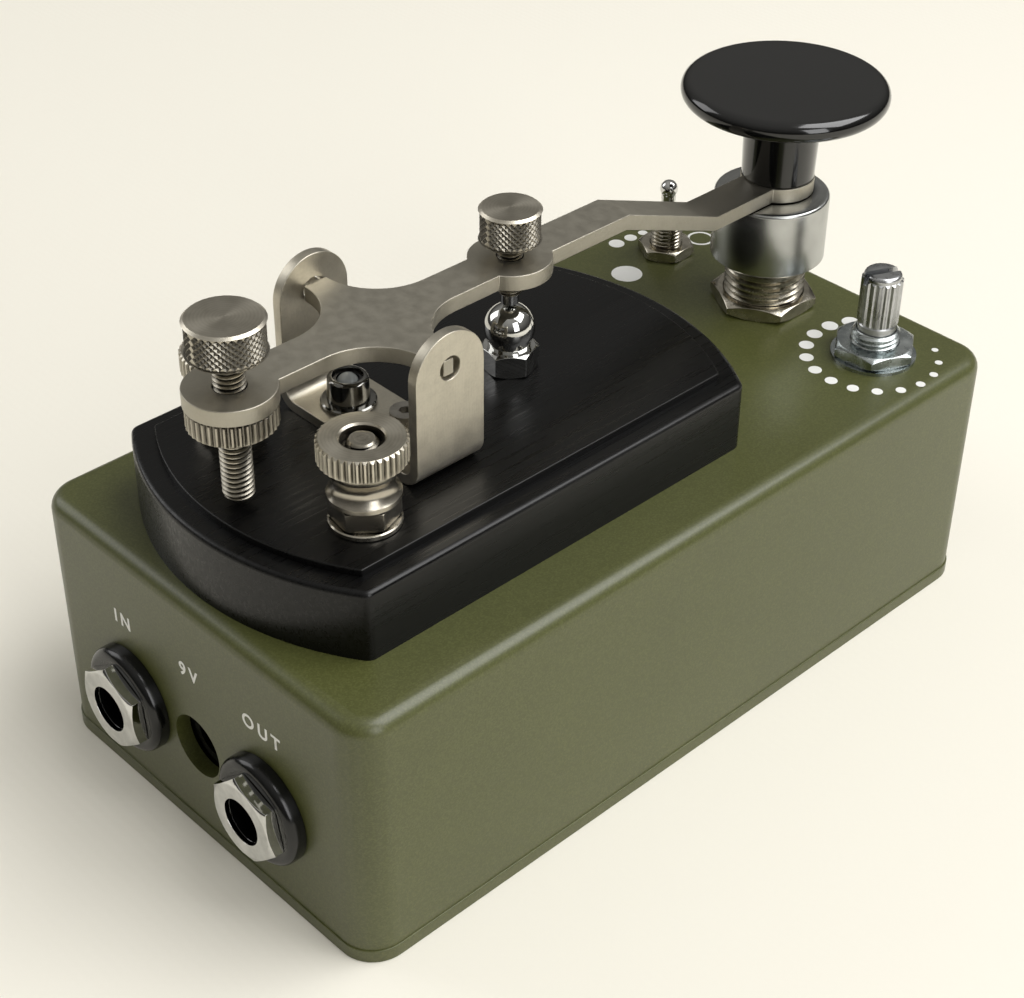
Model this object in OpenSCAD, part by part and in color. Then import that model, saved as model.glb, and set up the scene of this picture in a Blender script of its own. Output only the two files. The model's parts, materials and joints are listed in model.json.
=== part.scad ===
// Effect box with a telegraph key on top.
// A painted die-cast case carries a straight key on a black base, a push
// switch under the key's knob, a toggle switch, a control potentiometer,
// two jacks and a power inlet.
// +Z is up, -Y is the jack end, +Y is the knob end.
// The origin is on the resting face, under the middle of the case.

/* [Case] */
// Length of the case, jack end to knob end
case_l = 120.8; // [98:0.2:150]
// Width of the case
case_w = 66; // [62:0.5:90]
// Height of the case with its lid
case_h = 39.3; // [36:0.1:60]
// Thickness of the case walls and top
wall = 2.2; // [1.6:0.1:2.6]
// Radius of the four upright corners
corner_r = 5; // [3.5:0.5:7]
// Radius of the top edges
edge_r = 2.2; // [1:0.1:3]
// Thickness of the bottom lid
lid_t = 2; // [1.5:0.1:3]
// Amount the lid stands proud of the case sides
lid_lip = 0.2; // [0:0.1:0.5]
// Distance of the lid screws from the outer faces
boss_inset = 4.8; // [4.5:0.1:7]
// Radius of the screw bosses in the corners
boss_r = 3.6; // [3:0.1:4]

/* [Key base] */
// Diameter that the round ends of the base follow
base_d = 80.6; // [66:0.2:97]
// Width of the base across its straight sides
base_w = 47.2; // [39:0.2:57]
// Height of the base up to its shoulder
base_h = 10.1; // [8.5:0.1:13]
// Height of the raised middle above the shoulder
plateau_h = 1; // [0.5:0.1:2]
// Width of the shoulder round the raised middle
shoulder = 3; // [2:0.1:5]
// Distance from the jack end of the case to the base
base_gap = 2.3; // [1:0.1:10]

/* [Pivot bracket] */
// Thickness of the bracket sheet
sheet_t = 1.5; // [1:0.1:2]
// Width of the bracket over the outside of its ears
bracket_w = 27.2; // [25:0.1:34]
// Length of the bracket along the key
bracket_l = 11; // [9:0.1:14]
// Outside radius of the two bends
bend_r = 3; // [2.5:0.1:4]
// Height of the pivot above the raised middle
pivot_h = 15.7; // [14:0.1:19]
// Diameter of the pivot holes
pivot_hole_d = 3.2; // [2.9:0.1:4]
// Distance from the middle of the base to the pivot
pivot_shift = 10.7; // [8:0.1:14]

/* [Key lever] */
// Thickness of the lever plate
lever_t = 2.2; // [1.5:0.1:2.6]
// Width of the lever's arms
arm_w = 6; // [5:0.1:8]
// Radius of the scoops between the arms and the pivot wings
scoop_r = 8.5; // [7:0.1:10]
// Distance from the pivot to the rear screw
rear_arm = 22.4; // [18:0.1:26]
// Distance from the pivot to the contact screw
contact_arm = 22.7; // [19:0.1:27]
// Radius of the rear pad
rear_pad_r = 5.8; // [5:0.1:7]
// Radius of the contact pad
contact_pad_r = 5.6; // [5:0.1:7]
// Radius of the knob pad
knob_pad_r = 5.4; // [4.5:0.1:7]
// Distance from the contact screw to the first bend
bend_start = 19.1; // [8:0.1:24]
// Distance from the second bend to the knob
bend_end = 16.4; // [12:0.1:20]
// Knob press at the bottom of its travel, as an angle of the lever
press_deg = 1; // [0.5:0.1:1.5]

/* [Screws on the lever] */
// Thread diameter of the rear screw
rear_screw_d = 4; // [3:0.5:4.5]
// Head diameter of the rear screw
rear_head_d = 10.1; // [8:0.1:12]
// Head height of the rear screw
rear_head_h = 4.9; // [4:0.1:6]
// Height of the rear head above the lever
rear_head_gap = 4.4; // [2:0.1:6]
// Gap between the rear screw and the base at rest
rear_tip_gap = 1.1; // [0.8:0.1:3]
// Diameter of the rear lock nut
rear_nut_d = 11.3; // [9:0.1:12]
// Thickness of the rear lock nut
rear_nut_t = 3.1; // [2.5:0.1:4]
// Thread diameter of the contact screw
contact_screw_d = 3.4; // [3:0.1:4]
// Head diameter of the contact screw
contact_head_d = 8.4; // [7:0.1:10]
// Head height of the contact screw
contact_head_h = 4.8; // [4:0.1:6]
// Height of the contact head above the lever
contact_head_gap = 2.2; // [1:0.1:4]
// Length of the contact screw below the lever
contact_drop = 4.7; // [4:0.1:5.5]
// Diameter of the silver contact tip
contact_tip_d = 2.4; // [2:0.1:3]
// Gap between the contact tip and the dome nut at rest
contact_gap = 0.42; // [0.42:0.01:0.8]
// Width across the flats of the dome nut
dome_af = 7; // [6:0.5:8]
// Diameter of the dome
dome_d = 6.6; // [5.5:0.1:7]
// Height of the dome nut's hexagon
dome_hex_h = 3.3; // [2.5:0.1:4]

/* [Knob] */
// Diameter of the knob's disc
knob_d = 29.8; // [24:0.1:36]
// Thickness of the disc
knob_t = 3.1; // [2.5:0.1:4]
// Height of the knob above the lever
knob_h = 14.6; // [12:0.1:18]
// Stem diameter under the disc
stem_top_d = 11.2; // [9:0.1:14]
// Stem diameter on the lever
stem_base_d = 10.6; // [9:0.1:10.8]
// Thread diameter of the knob's screw
knob_screw_d = 4; // [3:0.5:4]

/* [Push switch] */
// Distance of the control row from the knob end of the case
row_inset = 13.2; // [13:0.1:16]
// Distance that the knob stands beyond the control row
knob_lead = 0.9; // [0:0.1:2]
// Diameter of the aluminium cap
cap_d = 16.9; // [13:0.1:18]
// Height of the cap
cap_h = 10.3; // [8:0.1:13]
// Height of the cap's lower rim above the case
cap_lift = 8.3; // [7:0.1:12]
// Diameter of the plunger
plunger_d = 8.4; // [7:0.1:9]
// Thread diameter of the switch bushing
bushing_d = 12; // [11:0.1:12.5]
// Height of the bushing above the case
bushing_h = 6.6; // [5:0.1:6.8]
// Width across the flats of the switch nut
switch_nut_af = 14; // [13.5:0.1:16]
// Thickness of the switch nut
switch_nut_t = 2.2; // [1.8:0.1:3]
// Side of the switch housing inside the case
switch_side = 16.6; // [15:0.1:17.6]
// Depth of the switch housing
switch_depth = 13; // [11:0.1:14]

/* [Toggle switch] */
// Distance of the toggle switch from the middle of the case
toggle_x = 20; // [18:0.1:24]
// Thread diameter of the toggle bushing
toggle_bushing_d = 5; // [4.5:0.1:6]
// Height of the toggle bushing above the case
toggle_bushing_h = 6; // [4:0.1:7]
// Height of the toggle's tip above the case
toggle_tip_h = 12.4; // [10:0.1:15]
// Diameter of the toggle's tip
toggle_tip_d = 2.5; // [2:0.1:3]
// Tilt of the toggle from its middle to each end
toggle_deg = 12; // [8:1:12]

/* [Potentiometer] */
// Distance of the potentiometer from the middle of the case
pot_x = 21.2; // [21:0.1:24]
// Diameter of the shaft
shaft_d = 6; // [5:0.1:6.4]
// Height of the shaft above the case
shaft_h = 13.8; // [10:0.1:20]
// Thread diameter of the bushing
pot_bushing_d = 7; // [6.8:0.1:8]
// Height of the bushing above the case
pot_bushing_h = 4.6; // [3.5:0.1:8]
// Side of the housing inside the case
pot_side = 9.5; // [9:0.1:9.8]

/* [Jack end] */
// Height of the jacks above the resting face
jack_z = 15.6; // [14:0.1:18]
// Distance of each jack from the middle of the case
jack_x = 14.2; // [14:0.1:16]
// Radius of the plug bore
plug_r = 3.25; // [3.2:0.01:3.4]
// Diameter of the black washer
jack_washer_d = 15.4; // [13:0.1:17]
// Thickness of the black washer
jack_washer_t = 2.4; // [1.5:0.1:3]
// Width across the flats of the jack nut
jack_nut_af = 11; // [10.8:0.1:13]
// Thickness of the jack nut
jack_nut_t = 1.9; // [1.5:0.1:3]
// Diameter of the power inlet hole
inlet_d = 9.2; // [8:0.1:10]

/* [Binding posts] */
// Distance of each post from the middle of the base
post_x = 13.3; // [12:0.1:14.5]
// Distance from the pivot to the posts
post_arm = 13.7; // [12.8:0.1:16]
// Diameter of the thumb nut
thumb_d = 11.2; // [9:0.1:12]
// Thickness of the thumb nut
thumb_t = 3.1; // [2.5:0.1:4]
// Diameter of the post's body
post_d = 9.2; // [8:0.1:10]

/* [Hidden] */
$fn = 64;
// Clearance of a turning or sliding fit, each side
fit = 0.05;
// Clearance of a screw or stud in a plain hole, each side
play = 0.2;
// Overshoot of a cut past the face it leaves
cut = 1;

// Case
shell_z = lid_t;
ceiling_z = case_h - wall;
inner_l = case_l - 2 * wall;
inner_w = case_w - 2 * wall;
boss_x = case_w / 2 - boss_inset;
boss_y = case_l / 2 - boss_inset;
lid_screw_d = 3;
lid_screw_l = 9;
lid_head_d = 5.6;
lid_head_h = 1.5;
front_y = -case_l / 2;
inner_front_y = front_y + wall;

// Key base
base_y = front_y + base_gap + base_d / 2;
base_z = case_h;
shoulder_z = base_z + base_h;
plateau_z = shoulder_z + plateau_h;
pocket_d = 9;
pocket_h = 4.6;
base_screw_d = 3;
base_screw_l = wall + 5;
base_screw_x = base_w / 2 - 8.6;
base_screw_y = 13;

// Lever
pivot_y = base_y - pivot_shift;
pivot_z = plateau_z + pivot_h;
rear_y = pivot_y - rear_arm;
contact_y = pivot_y + contact_arm;
row_y = case_l / 2 - row_inset;
knob_y = row_y + knob_lead;
lever_top = pivot_z + lever_t / 2;
lever_under = pivot_z - lever_t / 2;
rest_gap = 0.1;
cap_top = case_h + cap_lift + cap_h;
low_under = cap_top + rest_gap;
low_top = low_under + lever_t;
bend_1_y = contact_y + bend_start;
bend_2_y = knob_y - bend_end;
bend_deg = atan2(lever_top - low_top, bend_2_y - bend_1_y);
bend_shift = lever_t * tan(bend_deg / 2);
ear_in = bracket_w / 2 - sheet_t;
wing_gap = 0.25;
wing_x = ear_in - wing_gap;
wing_w = 3.6;
tab_w = 1.6;
tab_out = bracket_w / 2 - 0.3;

// Binding posts
post_y = pivot_y - post_arm;
post_stud_d = 4;
post_washer_t = 0.8;
post_hex_af = 7.8;
post_hex_h = 3;
post_body_h = 8.9;
thumb_z = plateau_z + post_body_h + 0.15;
thumb_recess_d = 5.4;
thumb_recess_h = 1.6;

// Light
led_x = -6;
led_y = pivot_y - 0.1;
led_hole_d = 5.2;
bezel_d = 5.6;
bezel_h = 4.1;
bezel_flange_d = 7.4;
bezel_flange_t = 0.7;
led_d = 3;
plate_z = plateau_z + sheet_t;

// Dome nut and its stud
dome_z = lever_under - contact_drop - contact_gap;
stud_d = 4;

// Control row
cap_z = case_h + cap_lift;
plunger_z = ceiling_z - 6;
switch_floor = ceiling_z - switch_depth;
toggle_depth = 9;
toggle_nut_af = 7.7;
toggle_nut_t = 1.8;
toggle_pivot_z = case_h + 1.4;
toggle_pin_d = 0.9;
toggle_pin_l = 3.8;
pot_depth = 7;
pot_nut_af = 11;
pot_nut_t = 2;
pot_washer_d = 12.4;
pot_washer_t = 0.5;
slot_w = 1.2;
slot_h = 1.8;
shaft_step = 0.8;
shaft_floor = ceiling_z - 4;

// How far each hexagon and the shaft's slot are turned about Z, in degrees
switch_nut_turn = 30;
toggle_nut_turn = 32;
pot_nut_turn = 5;
dome_turn = 50;
post_hex_turn = 50;
shaft_turn = -24;

// Jack end
jack_bushing_d = 9;
jack_body_w = 15.6;
jack_body_l = 22;
jack_body_h = 16.6;
jack_back_y = inner_front_y + jack_body_l;
jack_face_y = front_y - jack_washer_t - jack_nut_t;
inlet_x = -0.5;
power_body_w = 10;
power_body_l = 14;
power_body_h = 11;
socket_r = 2.9;
power_back_y = inner_front_y + power_body_l;

// Circuit board
board_t = 1.6;
board_top = ceiling_z - 11;
board_z = board_top - board_t;
board_w = inner_w - 8;
board_y0 = jack_back_y + 3;
board_y1 = row_y - 14;
board_l = board_y1 - board_y0;
board_y = (board_y0 + board_y1) / 2;
board_hole_x = board_w / 2 - 3.5;
board_hole_y = board_l / 2 - 3.5;
wire_d = 1.2;
wire_gap = 0.25;

// Six-sided prism by its width across the flats
module hexagon(af, h) {
    cylinder(d = af / cos(30), h = h, $fn = 6);
}

// Outline with straight sides and round corners
module rounded_rect(w, l, r) {
    square([w, l - 2 * r], center = true);
    square([w - 2 * r, l], center = true);
    for (sx = [-1, 1], sy = [-1, 1])
        translate([sx * (w / 2 - r), sy * (l / 2 - r)]) circle(r = r);
}

// Box with round upright corners and round top edges
module rounded_box(w, l, h, r, e) {
    linear_extrude(h - e) rounded_rect(w, l, r);
    linear_extrude(h) rounded_rect(w - 2 * e, l - 2 * e, r - e);
    for (s = [-1, 1]) {
        translate([0, s * (l / 2 - e), h - e])
            rotate([0, 90, 0]) cylinder(r = e, h = w - 2 * r, center = true);
        translate([s * (w / 2 - e), 0, h - e])
            rotate([90, 0, 0]) cylinder(r = e, h = l - 2 * r, center = true);
    }
    for (sx = [-1, 1], sy = [-1, 1])
        translate([sx * (w / 2 - r), sy * (l / 2 - r), h - e])
            rotate_extrude() translate([r - e, 0]) circle(r = e);
}

// Copies at the four places given by a half width and a half length
module at_corners(x, y) {
    for (sx = [-1, 1], sy = [-1, 1]) translate([sx * x, sy * y, 0]) children();
}

// Hole or rod along Z between two heights
module rod(d, z0, z1) {
    translate([0, 0, z0]) cylinder(d = d, h = z1 - z0);
}

// Point on a curve that leaves a along da and reaches b against db
function curve(a, da, b, db, t) =
    pow(1 - t, 3) * a + 3 * pow(1 - t, 2) * t * (a + da)
    + 3 * (1 - t) * t * t * (b + db) + pow(t, 3) * b;

function unit(v) = v / norm(v);

// Insulated wire on such a curve
module wire(a, da, b, db, d = wire_d, rings = 11, sides = 8) {
    path = [for (i = [0 : rings - 1]) curve(a, da, b, db, i / (rings - 1))];
    guide = unit([0.31, 0.17, 0.11]);
    points = [for (i = [0 : rings - 1])
        let (
            dir = unit(path[min(i + 1, rings - 1)] - path[max(i - 1, 0)]),
            u = unit(cross(dir, guide)),
            v = cross(dir, u))
        for (k = [0 : sides - 1])
            path[i] + d / 2 * (u * cos(360 * k / sides) + v * sin(360 * k / sides))];
    walls = [for (i = [0 : rings - 2], k = [0 : sides - 1])
        let (n = (k + 1) % sides)
        for (f = [[i * sides + k, (i + 1) * sides + k, (i + 1) * sides + n],
            [i * sides + k, (i + 1) * sides + n, i * sides + n]]) f];
    first = [for (k = [0 : sides - 1]) k];
    last = [for (k = [sides - 1 : -1 : 0]) (rings - 1) * sides + k];
    polyhedron(points, concat(walls, [first, last]));
}

// Painted die-cast case, open at the bottom
module case_shell() {
    color("olivedrab") difference() {
        union() {
            difference() {
                translate([0, 0, shell_z])
                    rounded_box(case_w, case_l, case_h - shell_z, corner_r, edge_r);
                translate([0, 0, shell_z - cut])
                    linear_extrude(ceiling_z - shell_z + cut)
                        rounded_rect(inner_w, inner_l, corner_r - wall);
            }
            at_corners(boss_x, boss_y) rod(2 * boss_r, shell_z, ceiling_z + wall / 2);
        }
        at_corners(boss_x, boss_y) rod(lid_screw_d + 2 * fit, shell_z - cut, shell_z + lid_screw_l);
        translate([0, row_y, 0]) rod(bushing_d + 2 * fit, ceiling_z - cut, case_h + cut);
        translate([-toggle_x, row_y, 0])
            rod(toggle_bushing_d + 2 * fit, ceiling_z - cut, case_h + cut);
        translate([pot_x, row_y, 0]) rod(pot_bushing_d + 2 * fit, ceiling_z - cut, case_h + cut);
        for (sx = [-1, 1])
            translate([sx * jack_x, inner_front_y + cut, jack_z])
                rotate([90, 0, 0]) cylinder(d = jack_bushing_d + 2 * fit, h = wall + 2 * cut);
        translate([inlet_x, inner_front_y + cut, jack_z])
            rotate([90, 0, 0]) cylinder(d = inlet_d, h = wall + 2 * cut);
        translate([0, base_y, 0]) at_corners(base_screw_x, base_screw_y)
            rod(base_screw_d + 2 * play, ceiling_z - cut, case_h + cut);
        translate([led_x, led_y, 0]) rod(led_hole_d, ceiling_z - cut, case_h + cut);
        translate([0, contact_y, 0]) rod(pocket_d - 2, ceiling_z - cut, case_h + cut);
        for (sx = [-1, 1])
            translate([sx * post_x, post_y, 0]) rod(pocket_d - 2, ceiling_z - cut, case_h + cut);
    }
}

// Flat lid that the object rests on
module bottom_lid() {
    lid_w = case_w + 2 * lid_lip;
    lid_l = case_l + 2 * lid_lip;
    color("olive") difference() {
        linear_extrude(lid_t) rounded_rect(lid_w, lid_l, corner_r + lid_lip);
        at_corners(boss_x, boss_y) {
            rod(lid_screw_d + 2 * play, -cut, lid_t + cut);
            translate([0, 0, -cut]) cylinder(d = lid_head_d + 2 * play, h = lid_head_h + cut);
        }
    }
}

module lid_screws() {
    color("dimgray") at_corners(boss_x, boss_y) difference() {
        union() {
            cylinder(d = lid_head_d, h = lid_head_h);
            rod(lid_screw_d, 0, shell_z + lid_screw_l - 0.5);
        }
        for (a = [0, 90]) rotate([0, 0, a])
            translate([-1.4, -0.4, -cut]) cube([2.8, 0.8, cut + 0.9]);
    }
}

// Outline of the key base: a disc with two straight sides
module base_outline(d, w) {
    intersection() {
        circle(d = d, $fn = 128);
        square([w, 2 * d], center = true);
    }
}

module key_base() {
    color([0.07, 0.07, 0.07]) difference() {
        translate([0, base_y, 0]) {
            translate([0, 0, base_z]) linear_extrude(base_h) base_outline(base_d, base_w);
            translate([0, 0, shoulder_z - cut]) linear_extrude(plateau_h + cut)
                base_outline(base_d - 2 * shoulder, base_w - 2 * shoulder);
        }
        translate([0, base_y, 0]) at_corners(base_screw_x, base_screw_y)
            rod(base_screw_d + 2 * fit, base_z - cut, ceiling_z + base_screw_l + 0.5);
        translate([led_x, led_y, 0]) rod(led_hole_d, base_z - cut, plateau_z + cut);
        translate([0, contact_y, 0]) {
            rod(stud_d + 2 * fit, base_z - cut, plateau_z + cut);
            rod(pocket_d, base_z - cut, base_z + pocket_h);
        }
        for (sx = [-1, 1]) translate([sx * post_x, post_y, 0]) {
            rod(post_stud_d + 2 * fit, base_z - cut, plateau_z + cut);
            rod(pocket_d, base_z - cut, base_z + pocket_h);
        }
        for (p = bracket_holes()) translate([p.x, p.y, 0])
            rod(bracket_screw_d + 2 * fit, plateau_z - bracket_screw_l, plateau_z + cut);
    }
}

module base_screws() {
    color("silver") translate([0, base_y, 0]) at_corners(base_screw_x, base_screw_y) {
        rod(base_screw_d, ceiling_z - 1, ceiling_z + base_screw_l);
        rod(5.6, ceiling_z - 2, ceiling_z);
    }
}

// Screws that hold the bracket, one each side of its middle
bracket_screw_d = 2.5;
bracket_screw_l = 5;
function bracket_holes() = [[2.2, pivot_y + 2.4], [8.2, pivot_y - 2.4]];

// Bracket bent from one sheet, with an ear at each end
module pivot_bracket() {
    flat_w = bracket_w - 2 * bend_r;
    ear_r = bracket_l / 2;
    ear_z = pivot_z - 0.6;
    color("darkkhaki") difference() {
        union() {
            translate([-flat_w / 2, pivot_y - bracket_l / 2, plateau_z])
                cube([flat_w, bracket_l, sheet_t]);
            for (s = [-1, 1]) {
                translate([s * flat_w / 2, pivot_y, plateau_z + bend_r])
                    rotate([90, 0, 0]) intersection() {
                        difference() {
                            cylinder(r = bend_r, h = bracket_l, center = true);
                            cylinder(r = bend_r - sheet_t, h = bracket_l + cut, center = true);
                        }
                        translate([s * bend_r, -bend_r, 0])
                            cube([2 * bend_r, 2 * bend_r, bracket_l + cut], center = true);
                    }
                translate([s * (bracket_w / 2 - sheet_t / 2), pivot_y, 0]) {
                    translate([-sheet_t / 2, -ear_r, plateau_z + bend_r])
                        cube([sheet_t, bracket_l, ear_z - plateau_z - bend_r]);
                    translate([0, 0, ear_z]) rotate([0, 90, 0])
                        cylinder(r = ear_r, h = sheet_t, center = true);
                }
            }
        }
        translate([0, pivot_y, pivot_z]) rotate([0, 90, 0])
            cylinder(d = pivot_hole_d, h = bracket_w + cut, center = true);
        translate([led_x, led_y, 0]) rod(led_hole_d + 2 * fit, plateau_z - cut, plate_z + cut);
        for (p = bracket_holes()) translate([p.x, p.y, 0])
            rod(bracket_screw_d + 2 * play, plateau_z - cut, plate_z + cut);
    }
}

module bracket_screws() {
    color("silver") for (p = bracket_holes()) translate([p.x, p.y, 0]) difference() {
        union() {
            rod(bracket_screw_d, plateau_z - bracket_screw_l + 0.5, plate_z + 0.5);
            rod(4, plate_z, plate_z + 1.6);
        }
        translate([0, 0, plate_z + 0.7]) hexagon(1.5, 2);
    }
}

// Chrome bezel of the indicator light
module led_bezel() {
    color("lightslategray") translate([led_x, led_y, 0]) difference() {
        union() {
            rod(bezel_flange_d, plate_z, plate_z + bezel_flange_t);
            rod(bezel_d, plate_z, plate_z + bezel_h);
            rod(led_hole_d - 2 * fit, base_z + 2, plate_z + cut);
        }
        rod(led_d + 2 * fit, base_z, plate_z + bezel_h + cut);
        translate([0, 0, plate_z + bezel_h - 0.7]) cylinder(d = 4.6, h = 2);
    }
}

// Light with its two leads
module led() {
    dome_top = plate_z + bezel_h + 0.2;
    color("whitesmoke") translate([led_x, led_y, 0]) {
        rod(led_d, plate_z - 2, dome_top - led_d / 2);
        translate([0, 0, dome_top - led_d / 2]) sphere(d = led_d);
        for (s = [-1, 1]) translate([s * 0.8, 0, 0]) rod(0.5, board_top, plate_z - 1.5);
    }
}

// Lever outline seen from above
module lever_outline() {
    wing_l = 2 * scoop_r + arm_w;
    translate([-arm_w / 2, rear_y]) square([arm_w, knob_y - rear_y]);
    translate([0, rear_y]) circle(r = rear_pad_r);
    translate([0, contact_y]) circle(r = contact_pad_r);
    translate([0, knob_y]) circle(r = knob_pad_r);
    difference() {
        translate([-wing_x, pivot_y - scoop_r - wing_w / 2])
            square([2 * wing_x, 2 * scoop_r + wing_w]);
        for (sx = [-1, 1], sy = [-1, 1])
            translate([sx * (arm_w / 2 + scoop_r), pivot_y + sy * (scoop_r + wing_w / 2)])
                circle(r = scoop_r);
        for (sx = [-1, 1], sy = [-1, 1])
            translate([sx * (arm_w / 2 + 2 * scoop_r), pivot_y + sy * (scoop_r + wing_w / 2)])
                square(2 * scoop_r, center = true);
    }
}

// Lever profile seen from the side, along Y and Z
module lever_profile() {
    y0 = rear_y - rear_pad_r - cut;
    y1 = knob_y + knob_pad_r + cut;
    polygon([[y0, lever_under], [y0, lever_top], [bend_1_y, lever_top], [bend_2_y, low_top],
        [y1, low_top], [y1, low_under], [bend_2_y - bend_shift, low_under],
        [bend_1_y - bend_shift, lever_under]]);
}

module key_lever() {
    color("dimgray") difference() {
        union() {
            intersection() {
                translate([0, 0, low_under - cut])
                    linear_extrude(lever_top - low_under + 2 * cut) lever_outline();
                rotate([90, 0, 90])
                    linear_extrude(case_w, center = true) lever_profile();
            }
            for (s = [-1, 1])
                translate([s * (tab_out + wing_x - cut) / 2, pivot_y, pivot_z])
                    cube([tab_out - wing_x + cut, tab_w, lever_t], center = true);
        }
        translate([0, rear_y, 0]) rod(rear_screw_d + 2 * fit, lever_under - cut, lever_top + cut);
        translate([0, contact_y, 0])
            rod(contact_screw_d + 2 * fit, lever_under - cut, lever_top + cut);
        translate([0, knob_y, 0]) {
            rod(knob_screw_d + 2 * play, low_under - cut, low_top + cut);
            translate([0, 0, low_under]) countersink(knob_screw_d + 2 * play);
        }
    }
}

// Cone under a flat screw head, wide end down
countersink_h = 1.6;
module countersink(d) {
    cylinder(d1 = d + 2 * countersink_h, d2 = d, h = countersink_h);
}

module rear_screw() {
    head_z = lever_top + rear_head_gap;
    color("gray") translate([0, rear_y, 0]) {
        rod(rear_screw_d, plateau_z + rear_tip_gap, head_z + cut);
        translate([0, 0, head_z]) cylinder(d1 = rear_head_d - 1, d2 = rear_head_d, h = 0.5);
        rod(rear_head_d, head_z + 0.5, head_z + rear_head_h - 0.4);
        translate([0, 0, head_z + rear_head_h - 0.4])
            cylinder(d1 = rear_head_d, d2 = rear_head_d - 0.8, h = 0.4);
    }
}

module rear_lock_nut() {
    nut_top = lever_under - fit;
    color("gray") translate([0, rear_y, 0]) difference() {
        rod(rear_nut_d, nut_top - rear_nut_t, nut_top);
        rod(rear_screw_d + 2 * fit, nut_top - rear_nut_t - cut, nut_top + cut);
    }
}

module contact_screw() {
    head_z = lever_top + contact_head_gap;
    bush_z = lever_under - contact_drop + 1.3;
    color("gray") translate([0, contact_y, 0]) difference() {
        union() {
            rod(contact_screw_d, bush_z, head_z + cut);
            translate([0, 0, head_z])
                cylinder(d1 = contact_head_d - 1, d2 = contact_head_d, h = 0.5);
            rod(contact_head_d, head_z + 0.5, head_z + contact_head_h - 0.4);
            translate([0, 0, head_z + contact_head_h - 0.4])
                cylinder(d1 = contact_head_d, d2 = contact_head_d - 0.8, h = 0.4);
        }
        rod(contact_tip_d + 2 * fit, bush_z - cut, bush_z + 2);
    }
}

// Silver tip set into the end of the contact screw
module contact_tip() {
    tip_z = lever_under - contact_drop;
    color("silver") translate([0, contact_y, 0]) rod(contact_tip_d, tip_z, tip_z + 2.8);
}

// Dome nut that the contact tip meets
module dome_nut() {
    color("silver") translate([0, contact_y, 0]) difference() {
        union() {
            translate([0, 0, plateau_z]) rotate([0, 0, dome_turn]) hexagon(dome_af, dome_hex_h);
            rod(dome_d, plateau_z + dome_hex_h - 0.5, dome_z - dome_d / 2);
            translate([0, 0, dome_z - dome_d / 2]) sphere(d = dome_d);
        }
        rod(stud_d + 2 * fit, plateau_z - cut, dome_z - dome_d / 2 + 0.5);
    }
}

module dome_stud() {
    color("gray") translate([0, contact_y, 0])
        rod(stud_d, base_z + 0.6, dome_z - dome_d / 2);
}

// Nut with its solder tag, in the pocket under the base
module tag_nut(d) {
    difference() {
        union() {
            translate([0, 0, base_z + 1.2]) hexagon(7, pocket_h - 1.2);
            rod(8, base_z + pocket_h - 1, base_z + pocket_h);
        }
        rod(d + 2 * fit, base_z, base_z + pocket_h + cut);
    }
}

module stud_nut() {
    color("silver") translate([0, contact_y, 0]) tag_nut(stud_d);
}

// Disc on a stem, with a round rim
module knob() {
    rim_r = knob_t / 2;
    disc_z = low_top + knob_h - rim_r;
    color([0.04, 0.04, 0.04]) translate([0, knob_y, 0]) difference() {
        union() {
            rod(knob_d - knob_t, disc_z - rim_r, disc_z + rim_r);
            translate([0, 0, disc_z]) rotate_extrude()
                translate([knob_d / 2 - rim_r, 0]) circle(r = rim_r);
            translate([0, 0, low_top])
                cylinder(d1 = stem_base_d, d2 = stem_top_d, h = disc_z - low_top);
        }
        rod(knob_screw_d + 2 * fit, low_top - cut, low_top + 8.5);
    }
}

// Flat-headed screw that comes up through the lever into the knob
module knob_screw() {
    color("gray") translate([0, knob_y, 0]) {
        rod(knob_screw_d, low_under + 0.2, low_top + 8);
        translate([0, 0, low_under + 0.2])
            cylinder(d1 = knob_screw_d + 2 * countersink_h - 0.4, d2 = knob_screw_d,
                h = countersink_h - 0.2);
    }
}

// Aluminium cap pressed onto the plunger
module switch_cap() {
    color("lightgray") translate([0, row_y, 0]) difference() {
        union() {
            rod(cap_d, cap_z, cap_top - 0.6);
            translate([0, 0, cap_top - 0.6]) cylinder(d1 = cap_d, d2 = cap_d - 1.2, h = 0.6);
        }
        rod(plunger_d + 2 * fit, cap_z - cut, cap_z + 6);
    }
}

module switch_plunger() {
    color("silver") translate([0, row_y, 0]) {
        rod(plunger_d, plunger_z, cap_z + 5.9);
        rod(plunger_d + 1.2, plunger_z, plunger_z + 1.5);
    }
}

// Housing and threaded bushing of the push switch
module switch_body() {
    color("gray") translate([0, row_y, 0]) difference() {
        union() {
            translate([-switch_side / 2, -switch_side / 2, switch_floor])
                cube([switch_side, switch_side, switch_depth]);
            rod(bushing_d, ceiling_z - cut, case_h + bushing_h);
        }
        rod(plunger_d + 2 * fit, switch_floor + 3, case_h + bushing_h + cut);
        rod(plunger_d + 2, switch_floor + 3, plunger_z + 2);
    }
}

module switch_nut() {
    color("darkgray") translate([0, row_y, case_h]) difference() {
        rotate([0, 0, switch_nut_turn]) hexagon(switch_nut_af, switch_nut_t);
        rod(bushing_d + 2 * fit, -cut, switch_nut_t + cut);
    }
}

// Return spring of the plunger, as closely stacked rings
module switch_spring() {
    spring_z = switch_floor + 3;
    spring_h = plunger_z - spring_z;
    turns = 4;
    color("silver") translate([0, row_y, spring_z + 0.4])
        for (i = [0 : turns - 1]) translate([0, 0, i * (spring_h - 0.8) / (turns - 1)])
            rotate_extrude() translate([3, 0]) circle(r = 0.35);
}

// Solder lugs, two rows of three
module switch_lugs() {
    color("gold") translate([0, row_y, switch_floor - 3.5])
        for (ix = [-1 : 1], iy = [-1, 1])
            translate([ix * 4.8 - 0.9, iy * 3.5 - 0.3, 0]) cube([1.8, 0.6, 3.5]);
}

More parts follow.
